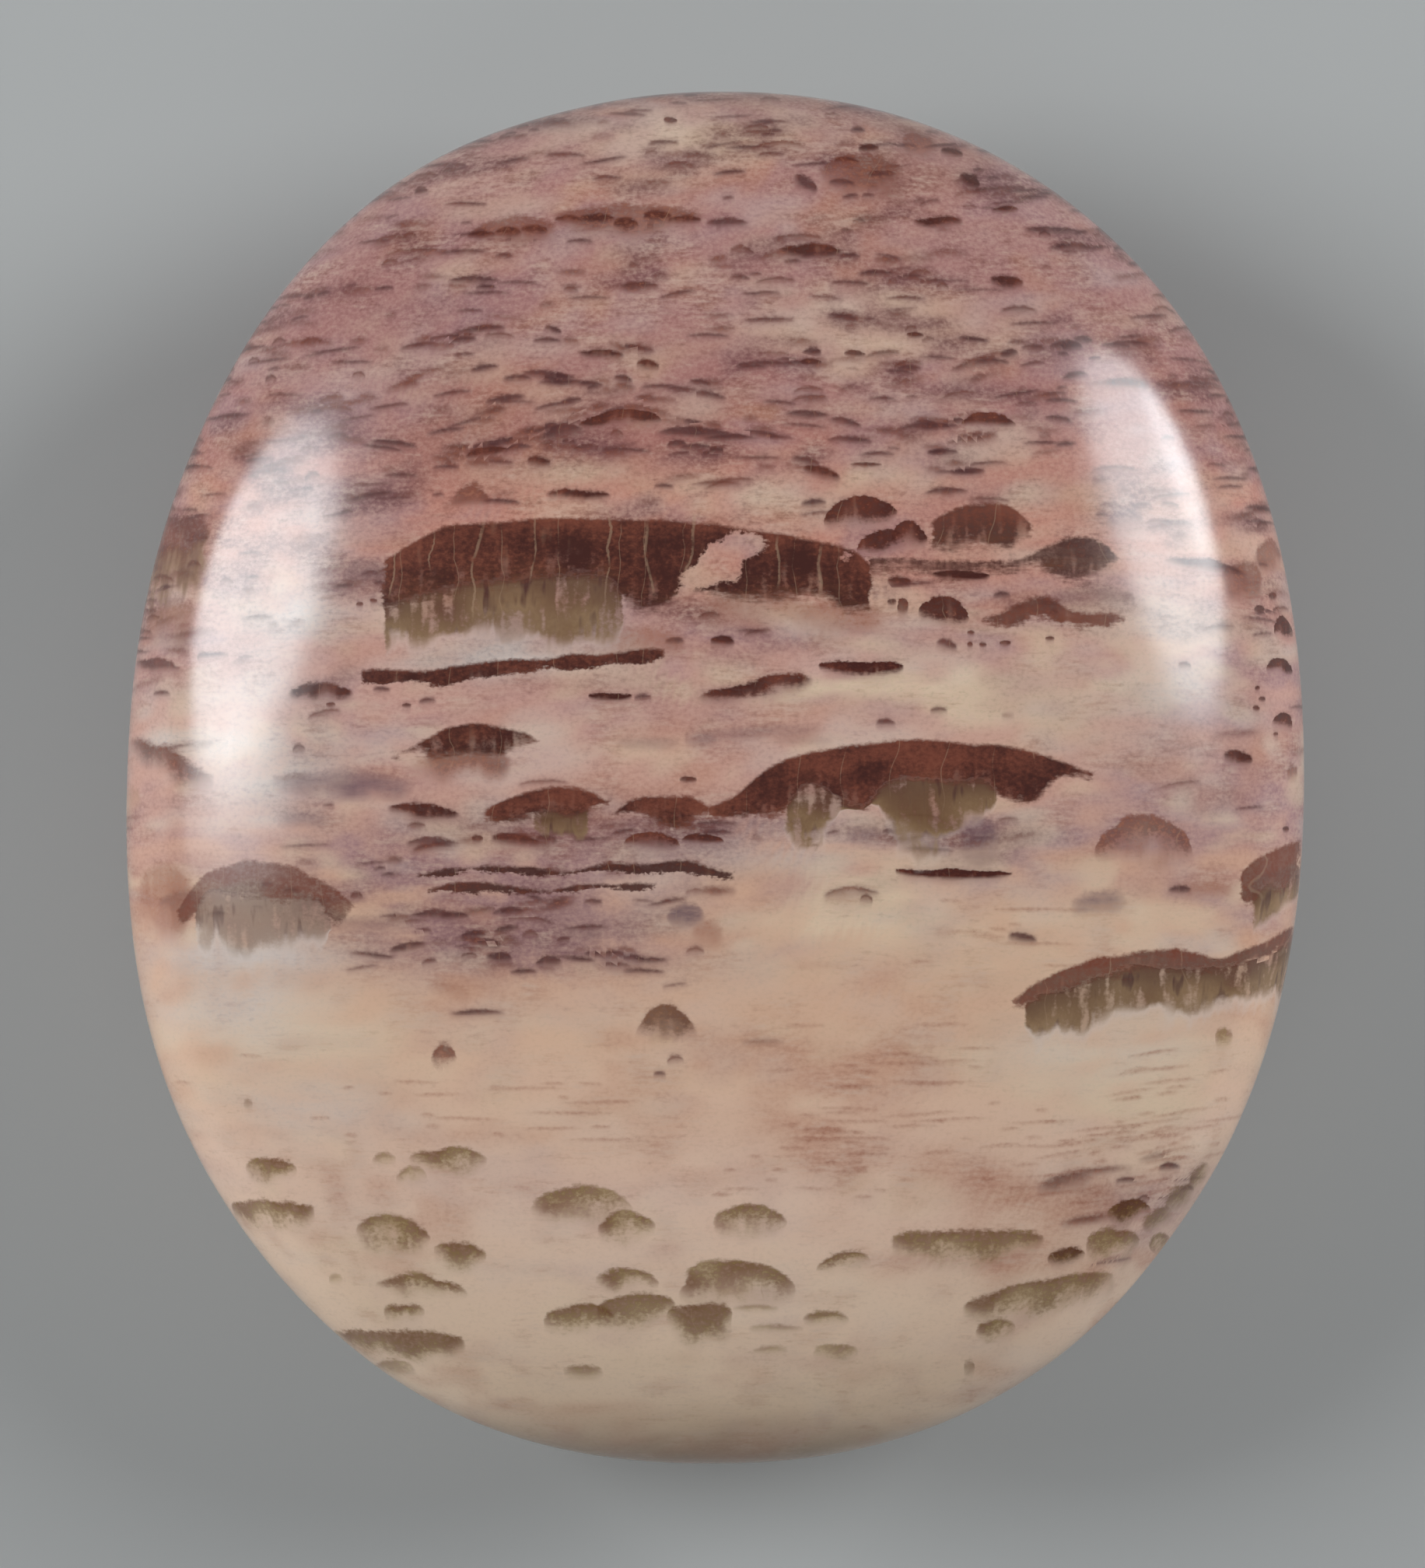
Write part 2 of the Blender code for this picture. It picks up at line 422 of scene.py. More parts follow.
def gaps_to_cracks(middles, points):
    """For each face's corners: how far right of the crack nearest to the face, how far inside its two ends,
    and how wide it is.
    """
    top_x, top_y, foot_x, foot_y, width = np.array(CRACKS).T
    share = np.clip((top_y - middles[:, 1, None]) / (top_y - foot_y), 0.0, 1.0)
    sideways = np.abs(middles[:, 0, None] - top_x - share * (foot_x - top_x))
    beyond = np.maximum(middles[:, 1, None] - top_y, foot_y - middles[:, 1, None])
    nearest = np.repeat(np.argmin(sideways + np.maximum(beyond, 0.0) * 3.0, axis=1), 4)
    top_x, top_y, foot_x, foot_y, width = np.array(CRACKS)[nearest].T
    lean = (top_y - points[:, 1]) / (top_y - foot_y) * (foot_x - top_x)
    ends = np.minimum(top_y - points[:, 1], points[:, 1] - foot_y)
    ends = np.where(points[:, 2] > BED_DEPTH, ends, OUTSIDE)
    return np.stack([points[:, 0] - top_x - lean, ends, width], axis=-1)


# THE STONE: ITS SMALL MARKINGS
# Spots and dashes of iron stain between the beds, by kind. Each lies in a box, given as its left, right,
# upper and lower side in mm from the middle, and its tilt in degrees if it has one. Its depth in the rock
# follows from its width.

# How a kind looks: the share of its height below its widest line (sag), how blunt its outline is, how soft
# its edge is in mm, how far its ends fade (taper), how long the columns under it are (hang), how strong it
# is (ink), how red (rust), green (moss) or grey (slate) it is, and how much of its lower part is gone (hollow)
SPOT_PLAIN = dict(
    sag=0.4, blunt=0.65, soft=0.08, taper=0.12, hang=0.0, ink=0.95, rust=0.2, moss=0.0, slate=0.0, hollow=0.0
)
SPOT_LOOKS = ("blunt", "soft", "taper", "ink", "rust", "moss", "slate", "hollow")
SPOT_KINDS = {
    "speck": dict(sag=0.5, blunt=0.5, ink=0.85),
    "speckpale": dict(sag=0.5, blunt=0.5, ink=0.45, moss=0.5, soft=0.15),
    "dash": dict(sag=0.35, blunt=0.8, soft=0.14, taper=0.6, ink=0.85, rust=0.15, slate=0.15),
    "streak": dict(sag=0.5, blunt=0.8, soft=0.22, taper=1, ink=0.68, rust=0.55),
    "faintdash": dict(sag=0.45, blunt=0.8, soft=0.25, taper=0.9, ink=0.55, rust=0.45),
    "scale": dict(sag=0.12, blunt=0.7, soft=0.15, taper=0.5, ink=0.7, rust=0.4, hollow=0.5),
    "fineline": dict(sag=0.5, blunt=0.6, soft=0.14, taper=0.9, ink=0.36, rust=1.5),
    "lens": dict(soft=0.14, taper=0.4),
    "line": dict(sag=0.5, blunt=0.25, soft=0.07, ink=1, rust=0),
    "wave": dict(sag=0.08, blunt=0.5, soft=0.12, rust=0.05, slate=0.15, hollow=0.7),
    "dome": dict(sag=0.12, blunt=0.55, rust=0.25),
    "arch": dict(sag=0.15, blunt=0.6, rust=0.4, hollow=0.6),
    "capped": dict(sag=0.12, blunt=0.45, hang=1, rust=0.25),
    "clot": dict(sag=0.45, blunt=0.6, soft=0.25, taper=0.5, ink=0.6, rust=0.75),
    "mound": dict(sag=0.2, blunt=0.9, soft=0.18, ink=0.75, rust=0.7),
    "capmound": dict(sag=0.1, blunt=1.2, soft=0.15, ink=0.85, rust=0.4, moss=0.2, hollow=0.35),
    "faint": dict(sag=0.3, blunt=0.5, soft=0.3, ink=0.35, slate=0.7),
    "smear": dict(sag=0.5, blunt=0.8, soft=0.4, ink=0.4, slate=0.3),
    "slate": dict(sag=0.5, blunt=0.7, soft=0.5, taper=0.8, ink=0.55, slate=1),
    "slateclot": dict(sag=0.5, blunt=0.6, soft=0.25, ink=0.8, slate=0.9),
    "blush": dict(sag=0.5, blunt=0.8, soft=0.5, taper=0.8, ink=0.45, rust=1.2),
    "hatched": dict(sag=0.1, blunt=0.6, soft=0.15, ink=0.75, rust=0.9, hollow=0.6),
    "hatchedfaint": dict(sag=0.5, blunt=0.2, soft=0.5, ink=0.35, moss=0.4),
    "mossy": dict(sag=0.6, blunt=0.4, soft=0.2, ink=0.7, moss=1),
    "mossfaint": dict(sag=0.5, blunt=0.5, soft=0.5, ink=0.25, moss=1),
    "fadeblock": dict(sag=0.5, blunt=0.12, soft=0.3, taper=0.3, hang=0.9, ink=0.65, rust=0.4),
    "wedge": dict(sag=0.5, blunt=0.6, soft=0.3, ink=0.75, rust=0.5),
    "olive": dict(sag=0.45, blunt=0.5, soft=0.18, ink=0.82, rust=0.1, moss=0.9),
    "olivefaint": dict(sag=0.45, blunt=0.6, soft=0.2, ink=0.65, moss=1),
    "oliveband": dict(sag=0.5, blunt=0.22, soft=0.18, ink=0.8, moss=0.85),
    "olivearch": dict(sag=0.25, blunt=0.55, soft=0.18, ink=0.82, rust=0.1, moss=0.9, hollow=0.5),
    "oliverust": dict(sag=0.3, blunt=0.6, soft=0.12, rust=0.3, moss=0.4),
    "chipolive": dict(sag=0.5, blunt=0.6, soft=0.2, ink=0.8, moss=0.85),
}
SPOTS = {
    "speck": (
        (-2.6, -1.9, 33.33, 32.86), (9.5, 10.4, 22.25, 21.89), (4.2, 5.3, 20.9, 20.47),
        (6.4, 7.5, 21.3, 20.9), (6.7, 8.3, 15.68, 15.4), (8.5, 9, 8.91, 8.55), (9, 9.6, 8.87, 8),
        (12.5, 12.9, 7.32, 7.01), (12.5, 12.8, 6.73, 6.41), (13.1, 13.5, 6.73, 6.41),
        (14.1, 14.7, 6.85, 6.45), (16.4, 16.9, 7.05, 6.73), (27.1, 27.7, 8.75, 8.19),
        (27.9, 28.4, 9.34, 8.91), (27.1, 27.4, 4.67, 4.35), (27.3, 27.7, 4.12, 3.8), (27, 27.4, 3.64, 3.29),
        (28.1, 28.4, 2.3, 2.02), (28.6, 29, -2.41, -2.81), (-19.4, -18.9, 3.76, 3.44),
        (-15.6, -15.1, 3.72, 3.44), (-17.9, -17.5, 8.75, 8.45), (-17.2, -16.8, 8.9, 8.6),
        (-1.8, -0.9, 0.08, -0.28), (-12.1, -11.5, -2.85, -3.25),
    ),
    "speckpale": ((-23.7, -23.2, -16.15, -16.63), (12.5, 13.1, -29.33, -30.25)),
    "dash": (
        (1.6, 3.9, 33.21, 32.9), (3.7, 5.3, 30.17, 29.45, -35), (7.5, 9.1, 30.56, 30.09),
        (5.6, 7.1, 30.09, 29.61), (15.2, 18.8, 27.87, 27.36), (16.4, 19.4, 26.96, 26.52),
        (0.4, 3.2, 31.83, 31.51), (-8.7, -6.3, 31.47, 31.16), (-7.6, -6, 27, 26.68),
        (-0.6, 1.8, 28.03, 27.47), (-14.2, -11.1, 26.52, 26.21), (-13.7, -11.3, 28.98, 28.7),
        (0.7, 1.8, 25.1, 24.78), (6.9, 9.1, 25.42, 25.02), (1.2, 3.5, 24.31, 23.99), (1.2, 4.3, 22.96, 22.6),
        (5.6, 7.9, 24.86, 24.54), (8.3, 10.7, 24.07, 23.79), (-11.1, -8.7, 24.86, 24.62),
        (-7.5, -5.1, 24.07, 23.83), (-13.1, -10.3, 22.6, 22.17, 6), (-9.2, -7.6, 22.01, 21.62),
        (-15.9, -13.7, 21.77, 21.38, 8), (-12.3, -10.7, 20.67, 20.23, 10), (-10.7, -9, 20.11, 19.68),
        (-9, -6, 19.87, 19.48), (-21, -17.5, 21.54, 21.26, 8), (1.2, 3.9, 20.78, 20.39),
        (8.9, 10.4, 20.59, 20.19), (12.8, 14.8, 20.98, 20.59), (15.2, 16.6, 21.69, 21.3),
        (16.6, 18.4, 21.93, 21.46, 6), (19.8, 22.1, 22.01, 21.62), (-1.6, 0.8, 22.17, 21.89),
        (-14.2, -11.9, 19.32, 19, 8), (-17.4, -15, 18.69, 18.37, 8), (-3.9, -1.6, 19.6, 19.28),
        (3.3, 5.9, 18.33, 17.81, -4), (8.9, 12.4, 17.7, 17.22, 3), (5.5, 7.9, 16.98, 16.55),
        (10.4, 12.2, 16.47, 16.03), (-0.8, 2.3, 17.1, 16.67), (7.5, 9.1, 19, 18.73),
        (15.1, 17.4, 16.86, 16.59), (16.3, 18.2, 19, 18.69), (0.8, 3.6, 15.99, 15.72),
        (10.7, 13.5, 15.36, 15.08), (-8.8, -6.4, 17.58, 16.83, 8), (-3.2, 1.2, 17.5, 16.83, -3),
        (-5.9, -3.1, 16.43, 16.11), (-14.2, -12.6, 15.6, 15.32), (-11.7, -9.5, 13.94, 13.54, -4),
        (-3.1, -2, 14.65, 14.33), (-18.6, -15.8, 14.25, 13.86, 10), (4.1, 5.6, 13.94, 13.46),
        (10.2, 12.8, 14.45, 14), (13.7, 14.7, 9.34, 8.91, 6), (10.9, 12.1, 6.85, 6.33, -14),
        (22.2, 26.9, 11.01, 10.37, -8), (10.6, 11.6, 3.52, 3.17), (7.9, 9, 2.93, 2.49),
        (26.5, 28.9, 15.84, 15.44), (25.4, 27.7, 17.42, 17.1), (23, 25.4, 18.61, 18.29),
        (26.5, 28.5, 13.86, 13.46), (-2.6, -1.5, 7.01, 6.61, 4), (-14.8, -13.8, 4, 3.64, 8),
        (-17.1, -16.1, 4.59, 4.24), (-4.1, -3.1, 4.2, 3.8), (-15.6, -12.6, -2.93, -3.52),
        (-6.6, -5.5, -5.98, -6.33), (-15.3, -12.8, -6.53, -7.05), (-10.8, -9.4, -6.37, -6.89, 4),
        (-16.4, -14.2, -8.12, -8.67, 10), (-12.8, -11.3, -7.52, -8, 6), (-11.1, -9.6, -7.28, -7.68, 5),
        (-11.5, -10, -8.55, -9.18, -5), (-9.1, -7.5, -8.79, -9.42), (-10.3, -8.7, -9.42, -9.82),
        (-7.6, -5.8, -8.82, -9.15, -6), (-4.7, -2.4, -9.42, -9.74), (-13.4, -10.2, -11.48, -11.88),
        (-3.1, -2.4, -14.57, -14.89), (14.4, 16.1, -7.64, -8.16, -10), (22.5, 23.9, -5.3, -5.78),
        (-29.6, -26.7, 6.02, 5.23, -8), (22.2, 23.5, -19.32, -19.79),
    ),
    "streak": ((15.8, 19, -19.75, -20.65, 12), (17.6, 21, -19.45, -19.9, 5), (17, 20.4, -21.9, -22.45, 6)),
    "faintdash": ((-14.4, -12.9, -8.05, -8.35), (-16.4, -14.9, -6.75, -7.25)),
    "lens": (
        (7.1, 8.3, 31.99, 31.47), (11.3, 12.6, 31.91, 31.27, -10), (5.9, 7.3, 31.24, 30.76),
        (12.2, 13.4, 30.56, 29.77, -25), (13.8, 15.4, 28.86, 28.35), (9.8, 12.6, 28.23, 27.55),
        (-12.5, -10.9, 27.47, 26.96), (-11.1, -9.6, 27.6, 27), (-9.8, -8.3, 27.71, 27.15),
        (-8.1, -6.6, 28.2, 27.7), (-6.9, -5, 28.35, 27.75), (-5.2, -3.8, 28.1, 27.4),
        (-3.7, -2.1, 28.46, 27.8), (-2.5, -0.6, 28.2, 27.63), (3.1, 6.5, 26.72, 25.93),
        (13.6, 15.6, 25.22, 24.51, -12), (-7, -4.4, 21.42, 20.86, -5), (-4, -2.7, 20.82, 20.23, -12),
        (4.3, 6.3, 15.44, 14.81, -14), (-12.5, -10.1, 16.51, 15.8, 10), (-9.4, -8.1, 15.99, 15.4, -6),
        (-8.5, -5.1, 14.37, 13.78), (8.5, 9.8, 10.02, 9.42), (25.4, 27.1, 1.39, 0.59, -8),
        (-0.3, 1, 7.13, 6.41), (-21.6, -17.8, 4.75, 3.8, -6), (-0.8, 5.1, 4.95, 3.85, 11),
        (-16.3, -12.7, -1.23, -2.06, -2), (-11.2, -8.5, -2.81, -3.44, -6),
    ),
    "line": (
        (10.8, 13.6, 10.25, 9.78), (-6.4, -4.2, 4.28, 3.8), (5.2, 9.4, 5.78, 4.95, 1),
        (9, 14.9, -4.55, -5.15, -1),
    ),
    "dome": (
        (12.2, 15, 18.13, 17.46), (-6.8, -2.6, 18.29, 17.42, 5), (5.3, 9.1, 13.94, 12.59, 8),
        (8.7, 10.5, 12.75, 11.56), (7.1, 9.5, 12.35, 11.32, 22), (10, 12.6, 9.03, 7.76, -8),
        (28.2, 29.3, 8.23, 7.13, 14), (27.7, 29.2, 6.1, 5.27), (28, 29.2, 3.4, 2.41, -12),
        (-1.7, 0.5, -2.69, -3.33, -4),
    ),
    "arch": ((-4.5, -1.7, -2.73, -3.52),),
    "clot": (
        (9.3, 11.3, 32.58, 31.39), (5, 9.7, 31.47, 29.18), (-12.4, -7.6, 28.2, 26.6),
        (-8.4, -0.2, 28.8, 27.2), (-15.1, -13.3, 26.64, 26.13), (25.3, 27.7, 11.1, 9),
        (27.1, 28.8, 12.19, 10.29), (28.8, 29.5, 0.79, -0.12), (-14.6, -10, 1.75, -0.1),
    ),
    "mound": ((-13.1, -11.1, 14.53, 13.5), (-14.2, -12.8, -13.14, -14.25)),
    "capmound": ((-4, -0.7, -11.25, -12.95),),
    "faint": ((19.5, 21.6, 13.54, 12.03), (-18.6, -16, 10.9, 9.2)),
    "smear": ((-11.1, -5.1, 33.65, 32.78), (16.8, 20.7, 9.62, 8.75), (-28.2, -25.4, -5.4, -7.3)),
    "slate": (
        (-1.6, 0.2, 2.22, 1.58), (-5.1, -1.6, 1.98, 1.5), (-0.8, 5.6, 2.53, 1.98, 4), (2.9, 5.9, 1.98, 1.74),
        (-22.6, -15.6, 0.4, -0.6, 3), (-19.6, -14.6, 0.1, -1.1, 2), (-22, -19, -1.82, -2.49),
        (-20.1, -15.8, -6.97, -7.52), (-5.8, -3.5, -8.55, -9.6), (-6.8, -5.6, -7.55, -7.95),
        (11.9, 14.3, -1.9, -4), (6.4, 8.3, -2.45, -3.17), (17.4, 20.6, -5.54, -6.73, 10),
    ),
    "slateclot": ((-2.4, -0.6, -6.33, -7.28, 18),),
    "blush": (
        (-15.6, -10, 1.5, -0.4), (-1.4, 0.5, -6.89, -8.55), (-14.5, -11.9, -10.21, -10.97, -12),
        (5.1, 6.9, -5.74, -6.37), (10.7, 12.2, -7.52, -7.96), (3.1, 7.7, -9.18, -9.5), (-1, 5, 9.6, 7.4),
        (3.5, 8.8, 9, 6.8), (-6.5, -1, 7.6, 5.8), (23, 26.5, -5.15, -6.18), (-29.6, -25.8, -4.2, -8.3),
    ),
    "hatched": ((18.7, 24, -1.8, -4.2),),
    "hatchedfaint": ((-28.9, -26, 9.03, 6.33),),
    "mossy": ((26.9, 28.6, -5.46, -7.21), (25.1, 26.1, -12.59, -13.86)),
    "mossfaint": ((-3.4, -1.8, -12.6, -13.7), (-30.1, -28.9, -0.4, -2.38)),
    "fadeblock": ((-30.5, -25.1, 13.3, 10.6),),
    "wedge": ((-30.2, -24.6, 1.4, 0.1, -26),),
    "olive": (
        (-23.7, -20.9, -19, -20.43), (-15.3, -11.3, -18.37, -19.79), (-18.1, -14.2, -21.89, -23.99, -6),
        (-14.1, -11.4, -23.08, -24.62, -8), (-16.8, -14.5, -26.29, -27.4), (-6, -2.9, -21.62, -23.28),
        (-6, -2.9, -24.47, -25.73), (-8.7, -5, -26.2, -28.05, 6), (4.3, 6.7, -26.64, -27.47),
        (18.5, 21.6, -22.6, -24.7), (13, 15.2, -27.16, -28.42), (22, 23.2, -23.04, -24.23, 40),
    ),
    "olivefaint": (
        (-17.2, -15.9, -18.69, -19.48), (-16, -14.3, -19.4, -20.59), (-19.5, -18.7, -25.02, -25.57),
        (-17.4, -15.1, -29.37, -30.32), (0.8, 3.2, -26.29, -26.76), (1.6, 4.4, -27.32, -27.79),
        (1.8, 3.7, -28.42, -28.94), (4.9, 7.3, -28.35, -29.41), (-7.7, -5.6, -29.37, -30.17),
    ),
    "oliveband": (
        (-24.8, -20, -21.22, -22.88), (-19.5, -12.6, -27.71, -29.53), (-6, -2, -25.75, -27.8, 4),
        (-2.4, 0.9, -26.13, -28.42), (8.6, 16.6, -22.5, -24.55), (12.2, 20.5, -25.18, -27.32, 9),
    ),
    "olivearch": (
        (-17.2, -12.3, -24.86, -26.05, -6), (-9.2, -3.9, -20.31, -22.25), (-0.2, 3.7, -21.22, -22.88),
        (-2.1, 4.1, -23.99, -26.44), (5, 7.9, -23.52, -24.78, 8),
    ),
    "oliverust": ((19.7, 22, -21.06, -22.41, 10), (16.6, 18.6, -23.52, -24.39, 12)),
    "chipolive": (
        (23.6, 25.4, -19.6, -20.8, 42), (22.5, 24.3, -20.6, -21.8, 42), (21.4, 23.2, -21.7, -22.9, 42),
    ),
}
STREAK_ROWS = (
    (16, (-13.5, 16.2), (-11, 16.6), (-9, 17.2), (-7, 17.8), (-4.5, 18.2), (-2.8, 18.4)),
    (12, (-3, 18), (-2, 17.6), (0, 17.1), (3, 16.8)),
    (10, (-13, 16), (-11, 16.3), (-9, 16.4), (-7, 17)),
    (10, (-14, 17.2), (-11, 17.9), (-8.5, 18.3), (-7, 18.6)),
    (9, (-19, 18.8), (-16.5, 19.1), (-13, 20.1), (-11, 20.6)),
    (12, (-11, 20.1), (-9, 19.9), (-6, 19.5), (-3, 19.2), (0, 18.9)),
    (10, (-12, 22.6), (-10, 22.5), (-8, 21.8), (-5, 21.2), (-3.5, 20.9)),
    (10, (-22, 21.4), (-18, 21.4), (-14, 21.6), (-11, 21.9)),
    (8, (1, 20.6), (4, 20.5), (7, 20.7), (10, 20.3)),
    (6, (0, 22.6), (3, 22.9), (6, 22.6), (10, 22), (13, 21.5)),
    (13, (3, 18.2), (6, 18), (9, 17.5), (12, 17.4), (15, 17.9), (18, 17.5)),
    (12, (-9, 16.2), (-6, 15.9), (-3, 16), (0, 16.1), (3, 15.6), (6, 15)),
    (9, (5, 16.6), (8, 16.9), (11, 16.5), (15, 16.9)),
    (9, (11, 20.9), (14, 20.8), (18, 21.6), (22, 21.8)),
    (8, (16.5, 19), (20, 19.5), (24, 19.2)),
    (4, (10.5, 15.5), (14, 15.4), (17, 16.2)),
    (9, (-18, 16.6), (-15, 16.2), (-13, 15.5), (-10, 15.4)),
    (8, (-15, 24.6), (-11, 24.4), (-7, 24.6), (-4, 24.3)),
    (8, (0, 25.2), (4, 25.8), (8, 25.9), (10, 25.4)),
    (12, (-15, -7.4), (-12, -7.2), (-9, -6.6), (-7, -6.4)),
    (14, (-13, -8.4), (-10, -8.6), (-7, -8.9), (-3, -9.2)),
    (8, (-16, -4), (-13, -3.4), (-10, -3.2), (-8, -3.4)),
)
STREAK_SEED = 5
STREAK_KINDS = ("streak", "streak", "dash")
STREAK_SCATTER = 0.22
STREAK_LEAN_REACH = 0.8
LINE_FIELDS = (
    (6.2, -18.6, 2.6, 2.2, 26, 0), (0.5, -20.2, 1.8, 0.8, 6, 0), (9, -14.6, 5, 2, 18, 0),
    (22, -18.6, 3.2, 2.6, 46, 7), (22.5, -15.2, 3, 1.4, 9, 6), (17.5, -20.8, 2.6, 1.4, 14, 5),
    (13.5, -17.6, 4, 2, 14, 3), (-7.5, -16.6, 6, 1.6, 12, 0), (-19, -16, 5, 2, 10, 0),
    (15.5, -8, 5, 1.8, 10, -2),
)
LINE_SEED = 11
LINE_SCATTER = 0.6
LINE_HEIGHT = 0.26
SPOT_LAYERS = 3
SPOT_MARGIN = 0.5
SHALLOWEST_SPOT = 2.5
NOWHERE = 99.0
DASHES = 700
DASH_SEED = 3
DASH_START = 13.0
DASH_LOWEST = 0.45
DASH_TILT = (4.0, 5.0)
DASH_KINDS = ("dash", "dash", "faintdash", "faintdash", "scale")
DASH_HEIGHTS = {"dash": 0.22, "faintdash": 0.34, "scale": 0.34}
SIDE_SPOTS = 420
SIDE_SEED = 7
SIDE_HIGHEST = 0.36
SIDE_TILT = 4.0
SIDE_DEPTHS = (1.2, 3.0)
THIN_KINDS = ("dash", "line", "wave", "fineline", "speck", "slate")
THIN_HEIGHT = 0.28
# Kinds for the rim and the belly, in the rock above each Y
SIDE_KINDS = (
    (14.0, ("dash", "dash", "lens", "dash", "clot")),
    (0.0, ("dome", "lens", "dash", "line", "speck", "dome", "hatched")),
    (-13.0, ("wave", "slate", "dash", "capped", "blush", "dome")),
    (-99.0, ("olive", "oliveband", "olivefaint", "fineline", "olivearch")),
)


def spot_table(rows):
    """The spots' numbers as columns: middle, tilt, half width, height over the base line, sag and hang under
    it, depth, and the look of the kind.
    """
    table = {name: [] for name in ("middle", "tilt", "half", "height", "sag", "hang", "depth", "kind")}
    for kind, left, right, upper, lower, *tilt in rows:
        look = {**SPOT_PLAIN, **SPOT_KINDS[kind]}
        tall = upper - lower
        base = lower + look["sag"] * tall
        x = 0.5 * (left + right)
        sides = [height_of_dome(end, base) for end in (left, right)]
        table["middle"].append((x, base, height_of_dome(x, base)))
        table["tilt"].append(math.radians(tilt[0] if tilt else 0.0))
        table["half"].append(0.5 * (right - left))
        table["height"].append((1.0 - look["sag"]) * tall)
        table["sag"].append(look["sag"] * tall)
        table["hang"].append(look["hang"] * tall)
        table["depth"].append(SHALLOWEST_SPOT + 0.3 * (right - left) + 0.7 * abs(sides[0] - sides[1]))
        table["kind"].append([look[name] for name in SPOT_LOOKS])
    return {name: np.array(column) for name, column in table.items()}


def standing(kind, x, y, half, tall, tilt):
    """A spot's kind, box and tilt, from the middle of its lower side."""
    return kind, x - half, x + half, y + tall, y, tilt


def scattered_spots(points, smoke):
    """Fine dashes on the dome at seeded places: long, thin, nearly level, most where the rock is smoky."""
    chance = np.random.default_rng(DASH_SEED)
    likely = smoke**1.5 + 0.1 * (points[:, 1] > DASH_START)
    taken = (points[:, 2] > DASH_LOWEST * points[:, 2].max()) & (chance.random(len(points)) < likely)
    rows = []
    for place in points[taken][chance.integers(0, taken.sum(), DASHES)]:
        kind = DASH_KINDS[chance.integers(len(DASH_KINDS))]
        half = 0.35 + 1.2 * chance.random() ** 2
        tall = DASH_HEIGHTS[kind] * (0.7 + 0.8 * chance.random())
        tilt = DASH_TILT[0] + DASH_TILT[1] * chance.standard_normal()
        rows.append(standing(kind, place[0], place[1], half, tall, tilt))
    return spot_table(rows)


def streak_spots():
    """Streaks in rows: each row is a count and the points of a line that they stand on and lean along."""
    chance = np.random.default_rng(STREAK_SEED)
    rows = []
    for count, *line in STREAK_ROWS:
        xs, ys = zip(*line)
        for _ in range(count):
            x = chance.uniform(xs[0], xs[-1])
            y = np.interp(x, xs, ys) + STREAK_SCATTER * chance.standard_normal()
            left, right = np.interp((x - STREAK_LEAN_REACH, x + STREAK_LEAN_REACH), xs, ys)
            half = 0.5 + 1.0 * chance.random() ** 1.5
            tall = 0.22 + 0.34 * chance.random()
            kind = STREAK_KINDS[chance.integers(len(STREAK_KINDS))]
            lean = math.degrees(math.atan((right - left) / (2.0 * STREAK_LEAN_REACH)))
            tilt = lean + 2.0 * chance.standard_normal()
            rows.append(standing(kind, x, y, half, tall, tilt))
    return spot_table(rows)


def line_spots():
    """Fields of fine lines in the cream beds: each a middle (x, y), its spreads, a count and a tilt."""
    chance = np.random.default_rng(LINE_SEED)
    rows = []
    for x, y, wide, tall, count, tilt in LINE_FIELDS:
        for _ in range(count):
            across = x + wide * LINE_SCATTER * chance.standard_normal()
            along = y + tall * LINE_SCATTER * chance.standard_normal()
            half = 0.4 + 2.3 * chance.random() ** 2
            rows.append(standing("fineline", across, along, half, LINE_HEIGHT, tilt + chance.normal()))
    return spot_table(rows)


def side_spots(points):
    """Spots for the rim and the belly, where none is listed: seeded places, with kinds to suit the beds."""
    chance = np.random.default_rng(SIDE_SEED)
    rows, levels = [], []
    below = points[points[:, 2] < SIDE_HIGHEST * points[:, 2].max()]
    for place in below[chance.integers(0, len(below), SIDE_SPOTS)]:
        kinds = next(kinds for level, kinds in SIDE_KINDS if place[1] > level)
        kind = kinds[chance.integers(len(kinds))]
        half = 0.5 + 2.2 * chance.random() ** 2
        tall = THIN_HEIGHT if kind in THIN_KINDS else 0.45 + 0.5 * half
        tall = tall * (0.7 + 0.6 * chance.random())
        tilt = SIDE_TILT * (2.0 * chance.random() - 1.0)
        rows.append(standing(kind, place[0], place[1], half, tall, tilt))
        levels.append(place[2])
    table = spot_table(rows)
    table["middle"][:, 2] = levels
    table["depth"] = np.clip(table["half"] * 1.2, *SIDE_DEPTHS)
    return table


